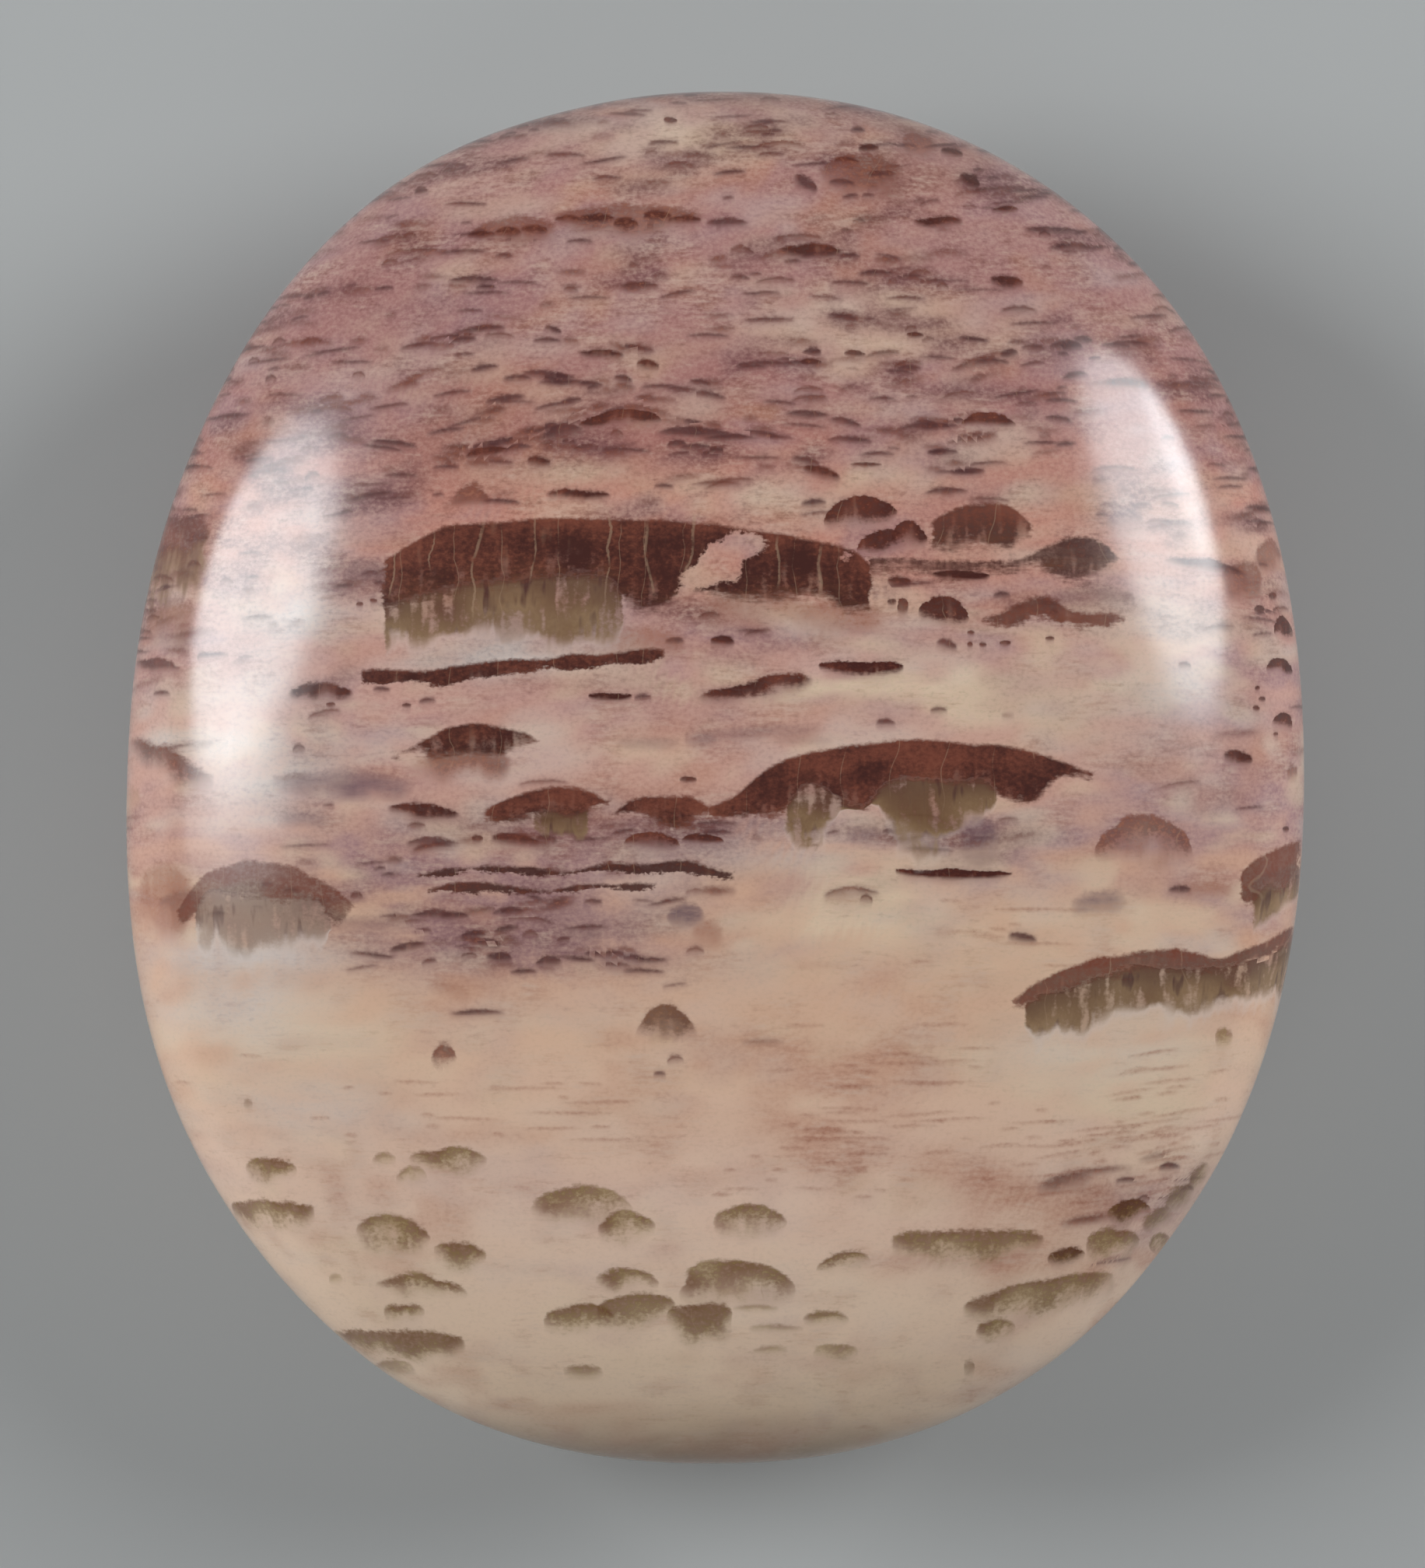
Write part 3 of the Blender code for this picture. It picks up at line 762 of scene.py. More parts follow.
def nearest_spots(middles, spots, listed_count):
    """For each face, the numbers of the spots whose boxes it lies in, nearest first, then -1 for no more.

    How near a spot is: the largest of the face's three offsets from it, each over the spot's own reach that
    way. The listed spots come before the others.
    """
    nearness = np.full((len(middles), SPOT_LAYERS), np.inf)
    numbers = np.full((len(middles), SPOT_LAYERS), -1)
    for number in range(len(spots["tilt"])):
        offset = in_spot(middles, spots, number)
        over = spots["height"][number] + SPOT_MARGIN
        under = spots["sag"][number] + spots["hang"][number] + SPOT_MARGIN
        upright = np.where(offset[:, 1] > 0.0, offset[:, 1] / over, -offset[:, 1] / under)
        sideways = np.abs(offset[:, 0]) / (spots["half"][number] + SPOT_MARGIN)
        inward = np.abs(offset[:, 2]) / (spots["depth"][number] + SPOT_MARGIN)
        near = np.maximum(np.maximum(upright, sideways), inward)
        hit = np.flatnonzero(near < 1.0)
        tried = np.column_stack([nearness[hit], near[hit] + (number >= listed_count)])
        named = np.column_stack([numbers[hit], np.full(len(hit), number)])
        order = np.argsort(tried, axis=1)[:, :SPOT_LAYERS]
        nearness[hit] = np.take_along_axis(tried, order, axis=1)
        numbers[hit] = np.take_along_axis(named, order, axis=1)
    return numbers


def in_spot(points, spots, number):
    """Points as seen from a spot, or from one each: the offset from its middle, turned back by its tilt."""
    offset = points - spots["middle"][number]
    cos, sin = np.cos(spots["tilt"][number]), np.sin(spots["tilt"][number])
    turned = np.empty_like(offset)
    turned[:, 0] = cos * offset[:, 0] + sin * offset[:, 1]
    turned[:, 1] = cos * offset[:, 1] - sin * offset[:, 0]
    turned[:, 2] = offset[:, 2]
    return turned


# THE STONE: ITS STAINS
# Soft clouds of colour in the rock, and three pale ones that are painted highlight under the lamps'
# reflections. The listed ones are a middle (x, y), a half width, a half height and a strength. They fade as
# a bell does, and run straight through the stone. Noise adds more of each all over.

CLOUDS = {
    "lilac": (
        (-29, 0, 4, 10, 0.5), (28, 0, 6, 9, 0.6), (-21, 9, 4, 4, 0.6), (-20, 17, 4, 3, 0.6),
        (-13, -6, 6.5, 3.2, 1.2), (-6, -7.4, 7, 2.2, 1.1), (-8, -3.8, 9, 1.8, 0.9), (24, 3, 4, 4, 0.7),
        (20, -3.5, 6, 2.5, 0.6), (-18, 0.6, 5, 1.4, 0.6), (13, 17, 8, 3, 0.35), (-13, 24, 4, 2, 0.4),
        (15, -4, 3, 1.6, 0.5), (14, 6, 5, 1.2, 0.5), (-1, 7.2, 8, 1.2, 1.3), (-3, -3.2, 4, 1.2, 1.1),
        (9, -3.6, 4, 1, 0.9), (21.5, -22, 2.5, 2, 0.8), (6, 7.4, 6, 1, 0.5), (-5, 3, 7, 1.6, 0.4),
        (11, -3.6, 6, 1.8, 1), (-17, 12.8, 3, 2, 0.6), (2, -2.6, 4, 1, 0.7), (8, 17, 6, 2, 0.5),
        (-8, 16.6, 6, 1.4, 0.4),
    ),
    "blush": (
        (-27.5, -6.2, 3, 2, 0.9), (1.5, 8.2, 7.5, 1, 0.9), (3, 3.6, 7, 0.9, 0.35), (6, 17.4, 7, 1.6, 0.6),
        (-9, 17.4, 6, 1.2, 0.6), (-6, -2.6, 6, 0.9, 0.4), (9, 30, 4, 2, 0.5), (-10, 19.2, 3, 1.6, 0.7),
        (-9, 15, 12, 2.2, 0.5), (4, 13.6, 9, 1.2, 0.6), (-14, 9, 4, 4, 0.3), (10, -11, 9, 2.4, 0.45),
        (-13, -11, 4, 1.6, 0.4), (24, -5.2, 2.6, 0.9, 0.6), (8, -13.5, 10, 1.6, 0.4), (6.5, -18.5, 5, 2, 0.4),
        (18, -24.6, 5, 1.4, 0.5), (13, -20.5, 8, 2.2, 0.6),
    ),
    "cream": (
        (-1, 32, 5, 1.4, 0.7), (5.4, 23.8, 2.8, 0.8, 0.55), (-2.4, 21.2, 3, 1, 0.3), (-6.3, 15, 4, 0.8, 0.6),
        (8, 14.8, 4, 0.9, 0.7), (7, -8.5, 8, 3, 0.6), (-26, 2, 3, 2, 0.6), (4, -6.2, 8, 2.4, 0.7),
        (11, 5, 7, 1.6, 0.6), (9, 21.8, 5, 1.2, 0.4), (20, -15.5, 6, 3, 0.9), (17, 13.8, 4, 1.2, 0.6),
        (15, 16, 4, 1.5, 0.5), (9, 23.5, 4, 1, 0.4), (10, 3.4, 6, 1.4, 0.6), (17, 3, 5, 2, 0.5),
        (19, -7, 5, 1.2, 0.5), (-20, -13, 4, 2, 0.5), (-12, -14, 12, 3, 0.5), (-24, -12, 5, 5, 0.6),
        (3.6, 22, 3, 0.8, 0.35), (2, 14, 5, 1, 0.6), (20, -12.5, 8, 4, 0.5), (-18, -25, 8, 3, 0.4),
        (0, -31.5, 12, 3, 0.5),
    ),
    "ash_and_highlight": (
        # The pale clouds at (-22, 3), (-21, 12) and (22, 7) are painted highlight: paler rock under the lamps'
        # reflections, which whitens them
        (-11, 6, 5.5, 0.9, 0.9), (-22, 3, 3, 6, 0.5), (-21, 12, 3.5, 4, 0.35), (22, 7, 3, 7, 0.4),
        (24, -8, 3, 2, 0.3), (-23, -8.9, 4.5, 0.7, 0.9), (4, -3.4, 6, 0.9, 0.7), (16.5, -4.2, 1.6, 1.8, 0.5),
        (-20.5, 8.2, 1.6, 1.4, 0.6), (-24.5, -11, 4.5, 2.8, 0.6), (-22, 0.5, 2.5, 2.5, 0.5),
        (-20, -16.5, 5, 2, 0.5), (-27.5, 2, 2.5, 1.5, 0.6), (19, -13.6, 5, 1.6, 0.4),
    ),
    "smoke": (
        (-9, -2.8, 9, 1.6, 0.5), (-11, -5.8, 8, 1.8, 0.6), (-9, -8.4, 8, 1.5, 0.6), (-19, -6.6, 4, 1.6, 0.4),
        (-20.5, 3, 1.8, 8, 0.3), (-13.5, 24.2, 4, 1.5, 0.4), (-9, 32.4, 3, 1.2, 0.4), (0, -2.8, 3.2, 1, 0.7),
        (9.5, -2.9, 4, 1, 0.6), (-2.5, 8.2, 3, 0.6, 0.6), (-28, 8, 2.5, 5, 0.4), (12.5, -3.4, 4, 1.4, 0.7),
        (3, 6.4, 3, 0.7, 0.4), (-9, 4.7, 5, 0.5, 0.3), (-2, 8, 4, 1.2, 0.35), (8, 30.4, 3.2, 1.6, 0.8),
        (-8, 27.4, 7, 0.9, 0.5), (8, 25.9, 6, 1, 0.5), (-6, 17, 8, 1.6, 0.5), (13, 11, 6, 2.6, 0.3),
        (-3, -1.6, 7, 1, 0.3), (21, -20.5, 4, 1.6, 0.3),
    ),
}
# How much more of each the noise adds in the mauve, the middle and the cream beds
LOOSE_CLOUDS = {
    "lilac": (0.70, 0.65, 0.22),
    "blush": (0.70, 0.50, 0.50),
    "cream": (0.28, 0.60, 0.35),
    "ash_and_highlight": (0.20, 0.35, 0.15),
    "smoke": (0.85, 0.24, 0.04),
}
LATTICE_START = 17.3
LATTICE_STRENGTH = 0.85
LATTICE_GAIN = 1.6
OCTAVE_STRENGTH = 0.55
# The beds' shift fades out between these Y, so the painted shade at the cream end runs level
LEVEL_BEDS_BELOW = -35.0
SHIFTED_BEDS_ABOVE = -27.0


def smooth_step(value, low, high):
    """Goes smoothly from 0 to 1 as the value goes from low to high."""
    share = np.clip((value - low) / (high - low), 0.0, 1.0)
    return share * share * (3.0 - 2.0 * share)


def lattice_noise(points, size, seed, octaves=2):
    """Smooth noise with its mean at 0, mostly between -1 and 1.

    Random values stand on a lattice whose cells have the size in mm, and a smooth step blends the eight
    round a point. Each further octave has half the size and about half the strength.
    """
    chance = np.random.default_rng(seed)
    cells, total, strength = points / np.array(size), 0.0, LATTICE_STRENGTH
    for _ in range(octaves):
        cells = cells + LATTICE_START - cells.min(axis=0)
        whole = np.floor(cells).astype(int)
        part = smooth_step(cells - whole, 0.0, 1.0)
        table = chance.uniform(-1.0, 1.0, whole.max(axis=0) + 2)
        for corner in np.ndindex(2, 2, 2):
            weight = np.prod(np.where(corner, part, 1.0 - part), axis=1)
            total = total + strength * weight * table[tuple((whole + corner).T)] * LATTICE_GAIN
        cells, strength = cells * 2.0, strength * OCTAVE_STRENGTH
    return total


def stain_fields(points):
    """The five stains' strengths, the pale one partly painted highlight, the beds' shift in mm, a mottle,
    and a wobble for outlines.
    """
    drift = lattice_noise(points, (17.0, 7.0, 17.0), 1)
    bent = points + np.stack([drift * 2.0, drift * 0.8, drift * 2.0], axis=-1)
    streak = lattice_noise(bent, (5.0, 1.2, 5.0), 2)
    mottle = lattice_noise(bent, (1.5, 0.9, 1.5), 3, 1)
    wobble = lattice_noise(bent, (1.2, 1.0, 1.2), 4, 1)
    mauve = smooth_step(points[:, 1] + drift * 2.0, 2.0, 16.0)
    middle = smooth_step(points[:, 1] + drift, -11.0, -5.0) * (1.0 - mauve)
    shares = (mauve, middle, 1.0 - mauve - middle)
    patchy = smooth_step(streak * 0.6 + mottle * 0.4, -0.9, 0.8) + 0.15
    strengths = []
    for seed, (name, clouds) in enumerate(CLOUDS.items()):
        total = np.zeros(len(points))
        for x, y, half_width, half_height, strength in clouds:
            bell = ((points[:, 0] - x) / half_width) ** 2 + ((points[:, 1] - y) / half_height) ** 2
            total += strength * np.exp(-bell)
        wide = lattice_noise(bent, (7.0, 2.2, 7.0), 20 + seed)
        fine = lattice_noise(bent, (2.6, 1.2, 2.6), 30 + seed)
        loose = smooth_step(wide * 0.7 + fine * 0.8, 0.0, 1.3)
        amount = sum(amount * share for amount, share in zip(LOOSE_CLOUDS[name], shares))
        total = total * patchy + loose * amount
        strengths.append(np.clip(total, 0.0, 1.0))
    # The shift fades out towards the cream end, so that the painted shade there stays level
    shifted = smooth_step(points[:, 1], LEVEL_BEDS_BELOW, SHIFTED_BEDS_ABOVE)
    shift = (drift * 1.6 + streak * 0.6) * shifted
    return np.stack([*strengths, shift, mottle, wobble], axis=-1)


# THE STONE: ITS MESH
# The grid's points and quads, with every marking's field stored on them for the material to read.


def put(name, domain, values):
    """Stores an array on the stone's mesh: as numbers, vectors or colours, by its width."""
    width = values.shape[1] if values.ndim > 1 else 1
    kind, slot = {1: ("FLOAT", "value"), 3: ("FLOAT_VECTOR", "vector"), 4: ("FLOAT_COLOR", "color")}[width]
    attribute = stone_mesh.attributes.new(name, kind, domain)
    attribute.data.foreach_set(slot, np.ascontiguousarray(values, dtype=np.float32).ravel())


def mesh_of(name, points, faces):
    """A smooth-shaded mesh from arrays of points and quads."""
    mesh = bpy.data.meshes.new(name)
    mesh.vertices.add(len(points))
    mesh.vertices.foreach_set("co", points.astype(np.float32).ravel())
    mesh.loops.add(faces.size)
    mesh.loops.foreach_set("vertex_index", faces.astype(np.int32).ravel())
    mesh.polygons.add(len(faces))
    mesh.polygons.foreach_set("loop_start", np.arange(0, faces.size, 4, dtype=np.int32))
    mesh.update(calc_edges=True)
    mesh.validate()
    mesh.shade_smooth()
    return mesh


def placed(name, data):
    """A new object in the scene."""
    made = bpy.data.objects.new(name, data)
    bpy.context.scene.collection.objects.link(made)
    return made


stone_mesh = mesh_of("polished_stone", stone_points * MM, stone_faces)
corner_points = stone_points[stone_faces.ravel()]
face_middles = stone_points[stone_faces].mean(axis=1)
# The columns have two looks, so the second also fills the third place
for part, gaps_to, looks in (
    ("cap", gaps_to_cap, ("rust", "ink", "fade")),
    ("column", gaps_to_columns, ("moss", "veil", "veil")),
):
    nearest = nearest_bed(gaps_to, face_middles)
    at_corners = np.repeat(nearest, 4)
    gaps = np.empty_like(corner_points)
    for number, bed in enumerate(CAPPED_BEDS):
        gaps[at_corners == number] = gaps_to(bed, corner_points[at_corners == number])
    look = np.array([[bed[look] for look in looks] for bed in CAPPED_BEDS])[nearest]
    put(f"{part}_gaps", "CORNER", gaps)
    put(f"{part}_look", "FACE", look)
put("bare_gaps", "POINT", gaps_to_bare(stone_points))
put("crack_gaps", "CORNER", gaps_to_cracks(face_middles, corner_points))
stains = stain_fields(stone_points)
put("stains", "POINT", stains[:, :4])
put("swirls", "POINT", stains[:, 4:])

listed = spot_table([(kind, *box) for kind, boxes in SPOTS.items() for box in boxes])
dashes = scattered_spots(stone_points, stains[:, 4])
tables = (listed, streak_spots(), dashes, line_spots(), side_spots(stone_points))
spots = {name: np.concatenate([table[name] for table in tables]) for name in listed}
spot_numbers = nearest_spots(face_middles, spots, len(listed["tilt"]))
for layer in range(SPOT_LAYERS):
    number = spot_numbers[:, layer]
    blank = number < 0
    at_corners = np.repeat(number, 4)
    place = in_spot(corner_points, spots, at_corners)
    place[:, 2] *= (spots["half"] / spots["depth"])[at_corners]
    place[np.repeat(blank, 4)] = NOWHERE
    size = np.stack([spots["half"], spots["height"], spots["sag"]], axis=-1)[number]
    look = spots["kind"][number]
    stain = look[:, 3:6] * ~blank[:, None]
    under = np.stack([spots["hang"][number], look[:, 6], look[:, 7]], axis=-1)
    put(f"spot_place_{layer}", "CORNER", place)
    for name, values in (("size", size), ("look", look[:, :3]), ("stain", stain), ("under", under)):
        put(f"spot_{name}_{layer}", "FACE", values)

bake_layer = stone_mesh.uv_layers.new(name="OFBake")
bake_layer.data.foreach_set("uv", stone_bake_map.astype(np.float32).ravel())
stone = placed("polished_stone", stone_mesh)

# THE STONE: ITS COLOUR AND POLISH
# Beds of mauve, pink and cream jasper with fine grain along them, stained brown where the markings are. The
# stone is polished, and its polish varies a little with the grain.

# Colours of the beds, from the cream end (0) to the mauve end (1). The first and the last stop darken the
# colour at the stone's two ends: painted shade, where the ends turn away from the lamps
BED_COLOURS_WITH_END_SHADE = (
    (0.00, (0.27, 0.17, 0.095)),
    (0.045, (0.83, 0.60, 0.43)),
    (0.20, (0.79, 0.53, 0.40)),
    (0.31, (0.73, 0.45, 0.31)),
    (0.40, (0.69, 0.39, 0.26)),
    (0.48, (0.63, 0.345, 0.265)),
    (0.56, (0.61, 0.33, 0.27)),
    (0.66, (0.57, 0.265, 0.20)),
    (0.70, (0.58, 0.25, 0.185)),
    (0.74, (0.42, 0.165, 0.138)),
    (0.80, (0.40, 0.175, 0.157)),
    (0.92, (0.45, 0.225, 0.20)),
    (1.00, (0.31, 0.17, 0.135)),
)
DASH_BROWN = (0.105, 0.028, 0.026)
PALE_GRAIN = (0.60, 0.42, 0.33)
CAP_DARK = (0.062, 0.018, 0.014)
CAP_RUST = (0.20, 0.056, 0.034)
SPOT_DARK = (0.066, 0.016, 0.012)
SPOT_RUST = (0.19, 0.050, 0.030)
SPOT_FLUSH = (0.34, 0.125, 0.075)
STAIN_SLATE = (0.14, 0.080, 0.100)
COLUMN_GREY = (0.38, 0.28, 0.255)
OLIVE_BROWN = (0.19, 0.075, 0.026)
OLIVE_DARK = (0.25, 0.152, 0.046)
OLIVE_PALE = (0.38, 0.260, 0.105)
MOSS_BROWN = (0.16, 0.064, 0.032)
MOSS_DARK = (0.19, 0.100, 0.046)
MOSS_PALE = (0.31, 0.190, 0.098)
# Pale ash of the rock, also laid as painted highlight under the lamps' reflections
PALE_ASH_AND_HIGHLIGHT = (0.67, 0.545, 0.485)
LILAC = (0.41, 0.225, 0.225)
BLUSH = (0.50, 0.22, 0.14)
CREAM = (0.78, 0.57, 0.40)
FLECK_RED = (0.23, 0.080, 0.045)
CRACK_CREAM = (0.44, 0.28, 0.18)
SMOKE = (0.155, 0.058, 0.062)
BEDS_SPAN = 70.0
CRACK_SPACING = 2.4
COLUMN_OVERLAP = 0.70
POLISH_ROUGHNESS = 0.17
JASPER_IOR = 1.54


class Wire:
    """One output of the jasper's shader. Python's operators on it add Math nodes."""

    tree = None

    def __init__(self, socket):
        self.socket = socket

    @staticmethod
    def node(kind, settings=None, inputs=None, output=0):
        """Adds a node: its settings, then the value or link of each named socket. Returns one output."""
        made = Wire.tree.nodes.new(kind)
        for name, value in (settings or {}).items():
            if name == "stops":
                Wire.set_stops(made.color_ramp, value)
            else:
                setattr(made, name, value)
        for name, value in (inputs or {}).items():
            if isinstance(value, Wire):
                Wire.tree.links.new(value.socket, made.inputs[name])
            else:
                made.inputs[name].default_value = value
        return Wire(made.outputs[output]) if made.outputs else None

    @staticmethod
    def set_stops(ramp, stops):
        """Gives a colour ramp its stops, as places and colours."""
        while len(ramp.elements) < len(stops):
            ramp.elements.new(0.5)
        for element, (place, colour) in zip(ramp.elements, stops):
            element.position = place
            element.color = (*colour, 1.0)

    @staticmethod
    def math(operation, *values):
        return Wire.node("ShaderNodeMath", {"operation": operation}, dict(enumerate(values)))

    def __add__(self, other):
        return Wire.math("ADD", self, other)

    def __sub__(self, other):
        return Wire.math("SUBTRACT", self, other)

    def __rsub__(self, other):
        return Wire.math("SUBTRACT", other, self)

    def __mul__(self, other):
        return Wire.math("MULTIPLY", self, other)

    def __truediv__(self, other):
        return Wire.math("DIVIDE", self, other)

    def __pow__(self, other):
        return Wire.math("POWER", self, other)

    __radd__ = __add__
    __rmul__ = __mul__

    def least(self, other):
        return Wire.math("MINIMUM", self, other)

    def most(self, other):
        return Wire.math("MAXIMUM", self, other)

    def ramp(self, low, high, start=0.0, end=1.0):
        """Goes smoothly from start to end as the value goes from low to high."""
        inputs = {"Value": self, "From Min": low, "From Max": high, "To Min": start, "To Max": end}
        return Wire.node("ShaderNodeMapRange", {"interpolation_type": "SMOOTHSTEP"}, inputs)

    def parts(self):
        """The three numbers of a vector."""
        return [Wire.node("ShaderNodeSeparateXYZ", inputs={"Vector": self}, output=n) for n in range(3)]


def attribute(name, output=1):
    """A field stored on the mesh: as a colour (0), a vector (1), a number (2) or a colour's alpha (3)."""
    return Wire.node("ShaderNodeAttribute", {"attribute_name": name}, output=output)


def noise(place, sizes, detail):
    """Smooth noise with its mean at 0, mostly between -1 and 1. Its grains have the sizes in mm each way."""
    shares = tuple(1.0 / size for size in sizes)
    place = Wire.node("ShaderNodeVectorMath", {"operation": "MULTIPLY"}, {0: place, 1: shares})
    inputs = {"Vector": place, "Scale": 1.0, "Detail": detail, "Roughness": 0.6}
    return (Wire.node("ShaderNodeTexNoise", inputs=inputs) - 0.5) * 4.0


def tint(colour, other, share):
    """Mixes two colours: share 0 gives the first, and 1 the other."""
    inputs = {"Factor": share, 6: colour_of(colour), 7: colour_of(other)}
    return Wire.node("ShaderNodeMix", {"data_type": "RGBA"}, inputs, output=2)


def colour_of(value):
    return value if isinstance(value, Wire) else (*value, 1.0)


def stained(colour, *stains):
    """Lays stains over a colour in turn, each given as its own colour and its share."""
    for stain, share in stains:
        colour = tint(colour, stain, share)
    return colour


def jasper():
    """The stone's material: beds, stains, grain, spots, capped beds and cracks, laid over one another."""
    material = bpy.data.materials.new("polished_jasper")
    material.use_nodes = True
    Wire.tree = material.node_tree
    Wire.tree.nodes.clear()
    spot = Wire.node("ShaderNodeTexCoord", output=3)
    place = Wire.node("ShaderNodeVectorMath", {"operation": "SCALE"}, {0: spot, "Scale": 1.0 / MM})
    x, y, z = place.parts()

    # Noises that the whole stone shares
    grain = noise(place, (1.1, 0.25, 1.1), 3.0)
    crumb = noise(place, (0.26, 0.20, 0.26), 2.0)
    ragged = noise(place, (0.60, 2.6, 0.60), 1.6)
    lilac, blush, cream = attribute("stains", 0).parts()
    smoke, shift, mottle = attribute("swirls", 0).parts()
    ash_and_highlight, wobble = attribute("stains", 3), attribute("swirls", 3)

    # Beds, with painted shade darkening both ends of the stone
    level = y + shift
    colour = Wire.node("ShaderNodeValToRGB", {"stops": BED_COLOURS_WITH_END_SHADE}, {"Fac": level / BEDS_SPAN + 0.5})

    # Stains, the pale one partly painted highlight under the lamps' reflections
    speckled = crumb * 0.16 + grain * 0.14 + 1.0
    colour = stained(
        colour,
        (LILAC, lilac * speckled * 0.85),
        (BLUSH, blush * speckled * 0.75),
        (CREAM, cream * speckled * 0.9),
        (PALE_ASH_AND_HIGHLIGHT, ash_and_highlight * speckled),
        (SMOKE, smoke * (crumb * 0.30 + grain * 0.15 + 0.9) * 0.75),
    )

    # Grain along the beds, weaker in the cream ones
    grainy = level.ramp(-11.0, 1.0, 0.60, 1.2) + level.ramp(3.0, 16.0)
    dashes = (grain * 0.7 + mottle * 0.4 + crumb * 0.2).ramp(0.0, 1.2)
    colour = stained(
        colour,
        (DASH_BROWN, dashes * grainy * 0.20),
        (PALE_GRAIN, (grain * -0.6 + mottle * 0.4 - crumb * 0.15).ramp(0.0, 1.1) * 0.5),
        (BLUSH, (grain * 0.5 + mottle * 0.5 + ragged * 0.15).ramp(0.1, 1.3) * 0.30),
        (DASH_BROWN, crumb.ramp(-0.5, 1.6) * grainy.least(1.8) * 0.17),
        (PALE_GRAIN, crumb.ramp(0.4, -1.6) * grainy.least(1.8) * 0.17),
    )

    # Spots
    inks, hues = [], []
    for layer in range(SPOT_LAYERS):
        ink, halo, hue, column = painted_spot(layer, ragged, wobble, crumb, grain)
        inks.append(ink)
        hues.append(hue)
        colour = tint(colour, tint(MOSS_DARK, MOSS_PALE, ragged.ramp(-0.6, 0.8)), column)
        colour = tint(colour, SMOKE, halo)
    hue, weights, clear = hues[0], inks[0] ** 2.0, 1.0 - inks[0]
    for ink, other in zip(inks[1:], hues[1:]):
        weights = weights + ink**2.0
        hue = tint(hue, other, ink**2.0 / weights.most(0.001))
        clear = clear * (1.0 - ink)
    colour = tint(colour, hue, 1.0 - clear)
    spotted = inks[0].most(inks[1]).most(inks[2])

    # Capped beds
    torn = wobble * 0.16 + crumb * 0.10 + grain * 0.04
    under_top, over_bottom, ends = attribute("cap_gaps").parts()
    rust, cap_ink, fade = attribute("cap_look").parts()
    bare = attribute("bare_gaps", 2) + wobble * 0.30 + mottle * 0.15 + crumb * 0.18
    upper = (under_top + torn * 0.6).least(ends + torn).least(bare * -1.0)
    lower = (over_bottom + torn + (grain * 0.5 + mottle * 0.3) * fade) / fade
    hatched = 1.0 - (ragged + crumb * 0.4).ramp(0.0, 1.1) * lower.ramp(3.5, 0.5) * fade
    cap_mask = upper.ramp(-0.08, 0.16) * lower.ramp(-0.5, 1.0) * hatched
    under_cap, length, ends = attribute("column_gaps").parts()
    moss, veiled, _ = attribute("column_look").parts()
    fall = under_cap / length
    hanging_mask = (under_cap - torn + COLUMN_OVERLAP).least(ends + torn * 0.6).ramp(0.0, 0.16)
    foot = fall + ragged * 0.16 + mottle * 0.20 + wobble * 0.16 + crumb * 0.05
    veil = hanging_mask * foot.ramp(0.55, 0.95) * foot.ramp(1.0, 1.35, 0.9, 0.0)
    colour = tint(colour, PALE_ASH_AND_HIGHLIGHT, veil * veiled)
    column_mask = hanging_mask * foot.ramp(0.75, 1.10, 1.0, 0.0) * cap_mask.ramp(0.6, 1.0, 1.0, 0.0)
    deep = fall * 0.8 + ragged * 0.30 + crumb * 0.20 + mottle * 0.6
    column = tint(tint(MOSS_BROWN, MOSS_DARK, deep.ramp(-0.3, 0.2)), MOSS_PALE, deep.ramp(0.1, 1.3))
    column = tint(COLUMN_GREY, column, moss.ramp(0.0, 0.6, 0.2, 1.0))
    drips = (ragged * 0.9 + mottle * 0.5 + foot * 0.5).ramp(0.5, 1.1)
    column = tint(column, CAP_DARK, drips * 0.7 + (fall + mottle * 0.15).ramp(0.7, 0.0) * moss * 0.55)
    gaps = (ragged + crumb * 0.3 + mottle * 0.3).ramp(0.0, -1.0, 1.0, 0.45)
    colour = tint(colour, column, column_mask * (moss * 0.25 + 0.70) * gaps)
    rim = (rust * under_top.ramp(0.1, 1.3, 2.6, 0.7)).least(0.70)
    rusty = rim + crumb * 0.36 + ragged * 0.22 + mottle * 0.36
    cap_colour = tint(CAP_DARK, CAP_RUST, rusty.ramp(-0.1, 1.3))
    olive_bands = (grain * 0.7 + mottle * 0.4).ramp(-0.2, 1.0) * lower.ramp(3.5, 0.5) * fade
    cap_colour = tint(cap_colour, MOSS_BROWN, olive_bands)
    thin = (crumb * 0.7 + ragged * 0.5 + mottle * 0.5) * (1.0 - cap_ink)
    colour = tint(colour, cap_colour, cap_mask * (cap_ink + thin))

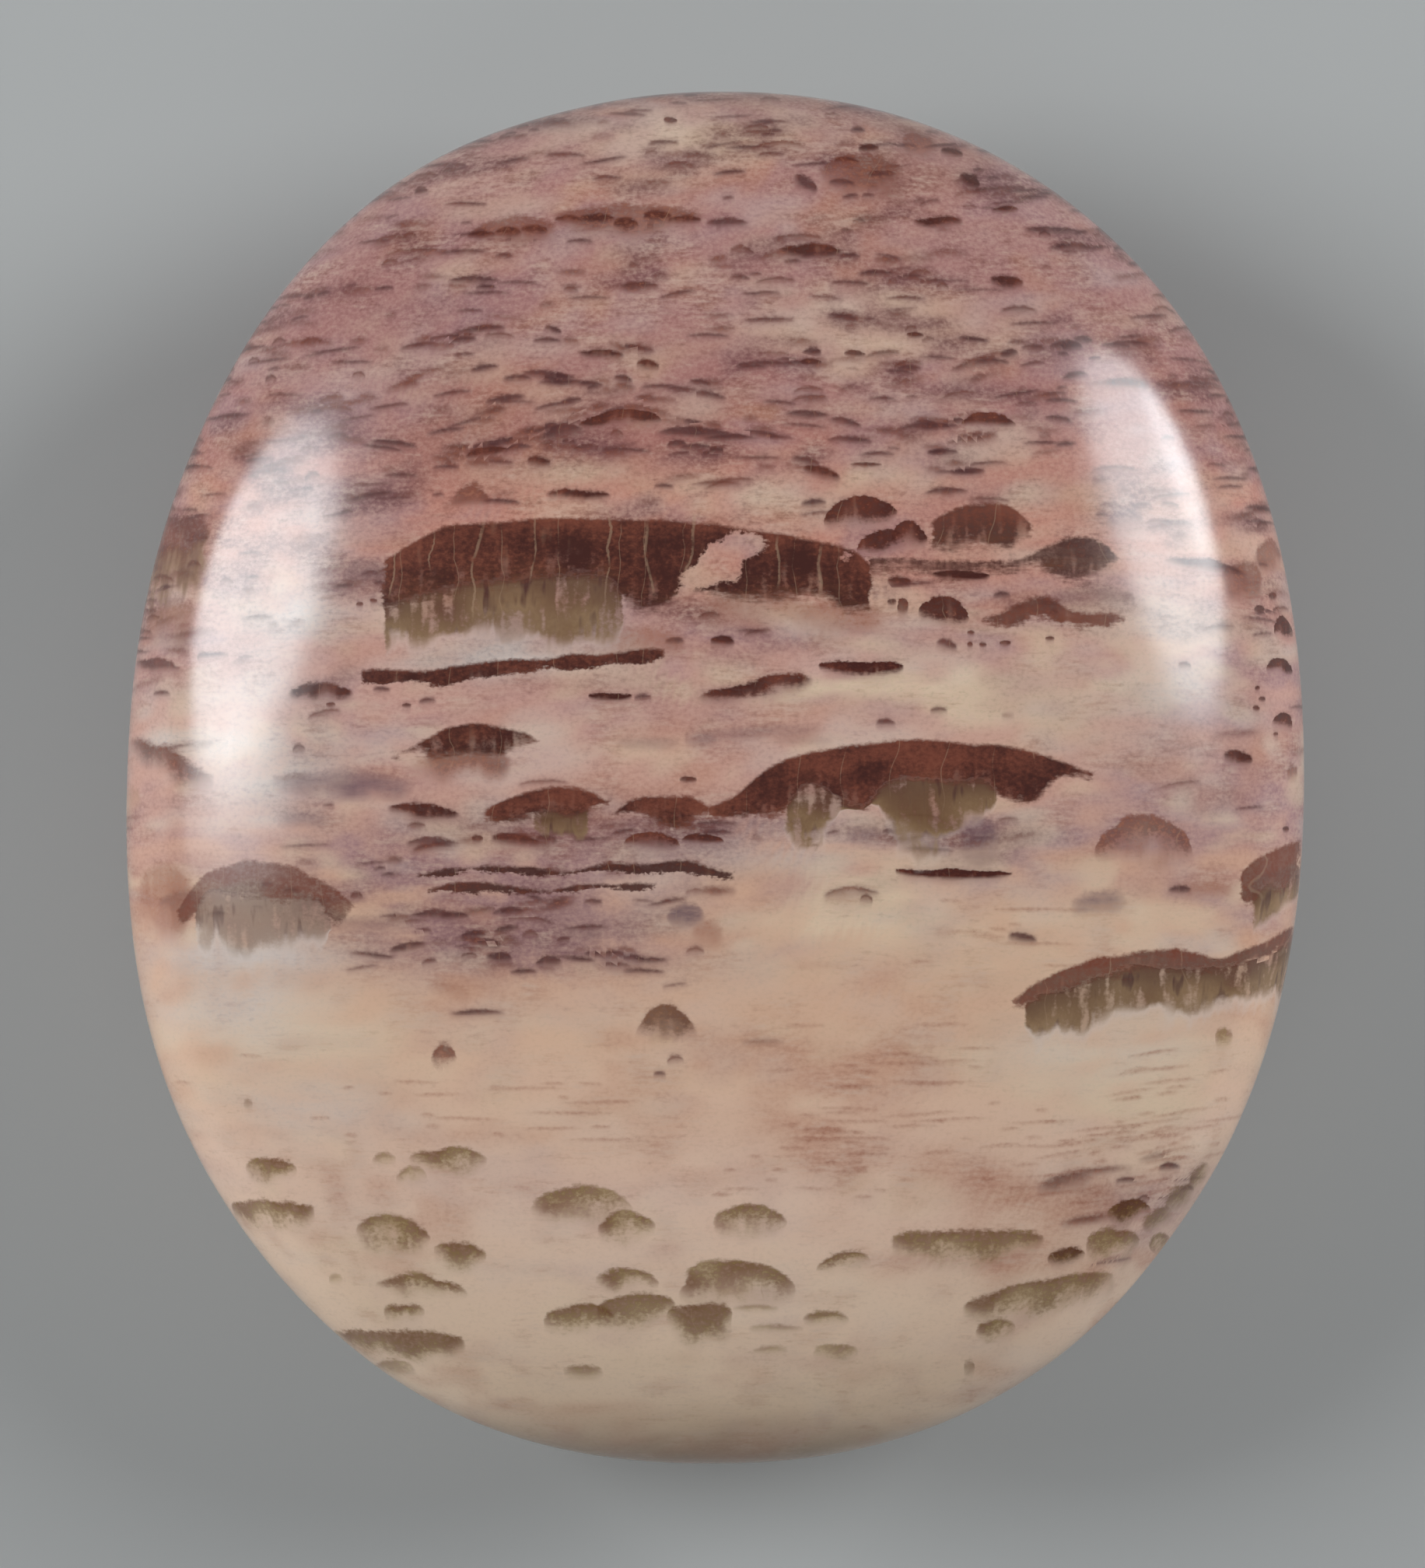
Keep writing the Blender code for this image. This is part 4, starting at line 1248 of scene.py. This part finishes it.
    # Hairline cracks through what is dark
    dark = cap_mask.most(spotted).most(column_mask * 0.7)
    bent = (x + z * 0.6 + wobble * 0.10 + shift * 0.25) / CRACK_SPACING
    settings = {"voronoi_dimensions": "1D", "feature": "DISTANCE_TO_EDGE"}
    crack = Wire.node("ShaderNodeTexVoronoi", settings, {"W": bent, "Scale": 1.0})
    broken = (mottle + crumb * 0.4).ramp(-0.8, 0.5)
    right, inside, width = attribute("crack_gaps").parts()
    line = ((right + wobble * 0.14 + crumb * 0.03) / width) ** 2.0
    colour = stained(
        colour,
        (CRACK_CREAM, crack.ramp(0.002, 0.016, 0.3, 0.0) * dark * broken),
        (CRACK_CREAM, line.ramp(0.7, 0.0) * inside.ramp(-0.3, 0.5) * (broken * 0.30 + 0.08)),
        (CRACK_CREAM, ragged.ramp(0.5, 1.2) * dark * 0.12),
        (FLECK_RED, (crumb * 0.7 + mottle * 0.3).ramp(0.2, 1.1) * dark * 0.3),
    )

    # Polish
    roughness = ragged * 0.02 + crumb * 0.005 + POLISH_ROUGHNESS
    inputs = {"Base Color": colour, "Roughness": roughness, "IOR": JASPER_IOR, "Specular IOR Level": 0.5}
    shader = Wire.node("ShaderNodeBsdfPrincipled", inputs=inputs)
    Wire.node("ShaderNodeOutputMaterial", inputs={"Surface": shader})
    return material


def painted_spot(layer, ragged, wobble, crumb, grain):
    """One layer of spots: its ink from 0 to 1, its halo, its colour, and how strong the columns under it are.

    1 less the squared offset across and into the rock is how much a spot swells. Its top is its height times
    that, to the power that its bluntness gives. Its bottom is its sag, torn by the noises, times the root.
    """
    across, upright, inward = attribute(f"spot_place_{layer}").parts()
    half, height, sag = attribute(f"spot_size_{layer}").parts()
    blunt, soft, taper = attribute(f"spot_look_{layer}").parts()
    ink, rust, moss = attribute(f"spot_stain_{layer}").parts()
    hang, slate, hollow = attribute(f"spot_under_{layer}").parts()
    tall = height + sag
    sideways = (across + wobble * (half * 0.08).least(0.22)) / half
    depth = inward / half
    swell = (1.0 - sideways * sideways - depth * depth).most(0.0)
    sway = (wobble * 0.13 + grain * 0.08 + crumb * 0.07) * tall.least(1.0)
    top = height * swell**blunt + sway
    torn = tall * (ragged * 0.35 + crumb * 0.4 + wobble * 0.6) * tall.ramp(0.4, 1.4) * 0.25
    bottom = (sag - torn) * -1.0 * swell**0.5 + sway
    in_top = top - upright
    in_bottom = upright - bottom
    deep = in_top / tall
    filled = swell.ramp(0.0, taper)
    upper = in_top.ramp(soft * -0.4, soft)
    lower = (in_bottom + crumb * 0.03).ramp(soft * -0.5, soft + tall * (moss * 0.25 + 0.30))
    emptied = 1.0 - hollow * (deep + crumb * 0.12).ramp(0.2, 0.6) * (0.85 + ragged * 0.4)
    hatch = (ragged + crumb * 0.3).ramp(0.0, 1.0) * deep.ramp(0.1, 0.7) * (0.35 + moss * 0.35)
    worn = (crumb * 0.5 + wobble * 0.5 + deep).ramp(0.3, 1.6) * moss * 0.5
    speckled = 1.02 + crumb * 0.06 + (crumb * 0.5 + ragged * 0.4) * (1.0 - ink) - hatch - worn
    smoky = (grain * 0.6 + crumb * 0.4).ramp(-0.4, 0.8) * slate * 0.6
    mask = (upper * lower * filled * ink * emptied * (speckled - smoky)).most(0.0).least(1.0)
    halo = in_top.ramp(-0.30, 0.15) * in_bottom.ramp(-0.35, 0.15) * swell.ramp(0.0, 0.4)
    halo = halo * ink * (0.30 - moss * 0.25 - rust.ramp(0.4, 1.2, 0.0, 0.26)).most(0.0)
    rusty = rust + crumb * 0.35 + ragged * 0.20 + wobble * 0.3 + deep * 0.3
    hue = tint(SPOT_DARK, SPOT_RUST, rusty.ramp(-0.1, 1.2))
    hue = tint(hue, SPOT_FLUSH, (rust + crumb * 0.6 + deep * 0.5).ramp(0.8, 1.6))
    deep = deep + crumb * 0.45 + ragged * 0.15 + wobble * 0.35
    mossy = tint(tint(OLIVE_BROWN, OLIVE_DARK, deep.ramp(-0.10, 0.50)), OLIVE_PALE, deep.ramp(0.25, 0.95))
    hue = tint(hue, mossy, moss)
    hue = tint(hue, STAIN_SLATE, slate)
    fall = (in_bottom * -1.0) / hang.most(0.01)
    columns = fall.ramp(-0.5, -0.3) * (fall + ragged * 0.3).ramp(0.1, 0.9, 1.0, 0.0) * filled
    return mask, halo, hue, columns * hang.ramp(0.0, 0.1) * 0.75


stone_mesh.materials.append(jasper())
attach(stone, "root")
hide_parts(STONE_NODE)

# THE STUDIO
# A pale floor that the stone lies on, tall soft lamps on both sides, a weak one beyond the cream end, and a
# camera that looks straight down.

FLOOR_HALF = 0.9
FLOOR_COLOUR = (0.42, 0.41, 0.40)
LAMP_DISTANCE = 0.60
# Lamps: the name, how far it leans to +X and to +Y, its width and height as seen from the stone, all in
# degrees, and how bright it is
LAMPS = (
    ("left_lamp", -61.0, 14.0, 38.0, 27.0, 10.0),
    ("left_low", -61.0, -0.5, 35.0, 9.0, 3.2),
    ("right_lamp", 59.0, 19.5, 31.0, 32.0, 9.4),
    ("right_core", 68.0, 23.0, 9.0, 18.0, 7.0),
    ("foot_fill", 0.0, -45.0, 60.0, 40.0, 0.6),
)
LAMP_COLOUR = (0.90, 0.97, 1.0)
FILL_COLOUR = (0.94, 0.95, 1.0)
FILL_STRENGTH = 0.10
FRAME_HEIGHT = 79.8
LENS = 200.0
SENSOR = 36.0
STONE_OFF_CENTRE = (0.14, 0.32)
RIM_HEIGHT = BELLY_DEPTH - FLAT_SPOT_DEPTH


def plain(name, colour, roughness):
    """A matt one-colour material."""
    material = bpy.data.materials.new(name)
    material.use_nodes = True
    shader = material.node_tree.nodes["Principled BSDF"]
    shader.inputs["Base Color"].default_value = (*colour, 1.0)
    shader.inputs["Roughness"].default_value = roughness
    return material


def look_at_stone(lamp):
    """Turns a lamp so that its -Z points at the stone, with +Y up."""
    away = np.array(lamp.location) / np.linalg.norm(lamp.location)
    side = np.cross((0.0, 1.0, 0.0), away)
    side = side / np.linalg.norm(side)
    matrix = np.eye(4)
    matrix[:3] = np.stack([side, np.cross(away, side), away, lamp.location], axis=-1)
    lamp.matrix_world = matrix.T.tolist()


floor_corners = np.array([(-1.0, -1.0, 0.0), (1.0, -1.0, 0.0), (1.0, 1.0, 0.0), (-1.0, 1.0, 0.0)])
floor_mesh = mesh_of("floor", FLOOR_HALF * floor_corners, np.array([[0, 1, 2, 3]]))
floor_mesh.materials.append(plain("floor_paper", FLOOR_COLOUR, 0.9))
floor = placed("floor", floor_mesh)

for name, lean, northing, wide, tall, glow in LAMPS:
    lamp_data = bpy.data.lights.new(name, "AREA")
    lamp_data.shape = "ELLIPSE"
    lamp_data.color = LAMP_COLOUR
    lamp_data.size = 2.0 * LAMP_DISTANCE * math.tan(math.radians(wide / 2.0))
    lamp_data.size_y = 2.0 * LAMP_DISTANCE * math.tan(math.radians(tall / 2.0))
    lamp_data.energy = glow * math.pi * (math.pi / 4.0) * lamp_data.size * lamp_data.size_y
    lamp = placed(name, lamp_data)
    lean, northing = math.radians(lean), math.radians(northing)
    towards = (math.sin(lean) * math.cos(northing), math.sin(northing), math.cos(lean) * math.cos(northing))
    lamp.location = LAMP_DISTANCE * np.array(towards)
    look_at_stone(lamp)
    lamp.visible_camera = False
    lamp.visible_glossy = name != "foot_fill"

world = bpy.data.worlds.new("studio")
world.use_nodes = True
background = world.node_tree.nodes["Background"]
background.inputs["Color"].default_value = (*FILL_COLOUR, 1.0)
background.inputs["Strength"].default_value = FILL_STRENGTH
bpy.context.scene.world = world

camera_data = bpy.data.cameras.new("camera")
camera_data.lens = LENS
camera_data.sensor_width = SENSOR
camera = placed("camera", camera_data)
camera_height = RIM_HEIGHT + FRAME_HEIGHT * LENS / SENSOR
camera.location = MM * np.array((-STONE_OFF_CENTRE[0], -STONE_OFF_CENTRE[1], camera_height))
bpy.context.scene.camera = camera
bpy.context.scene.view_settings.view_transform = "Standard"
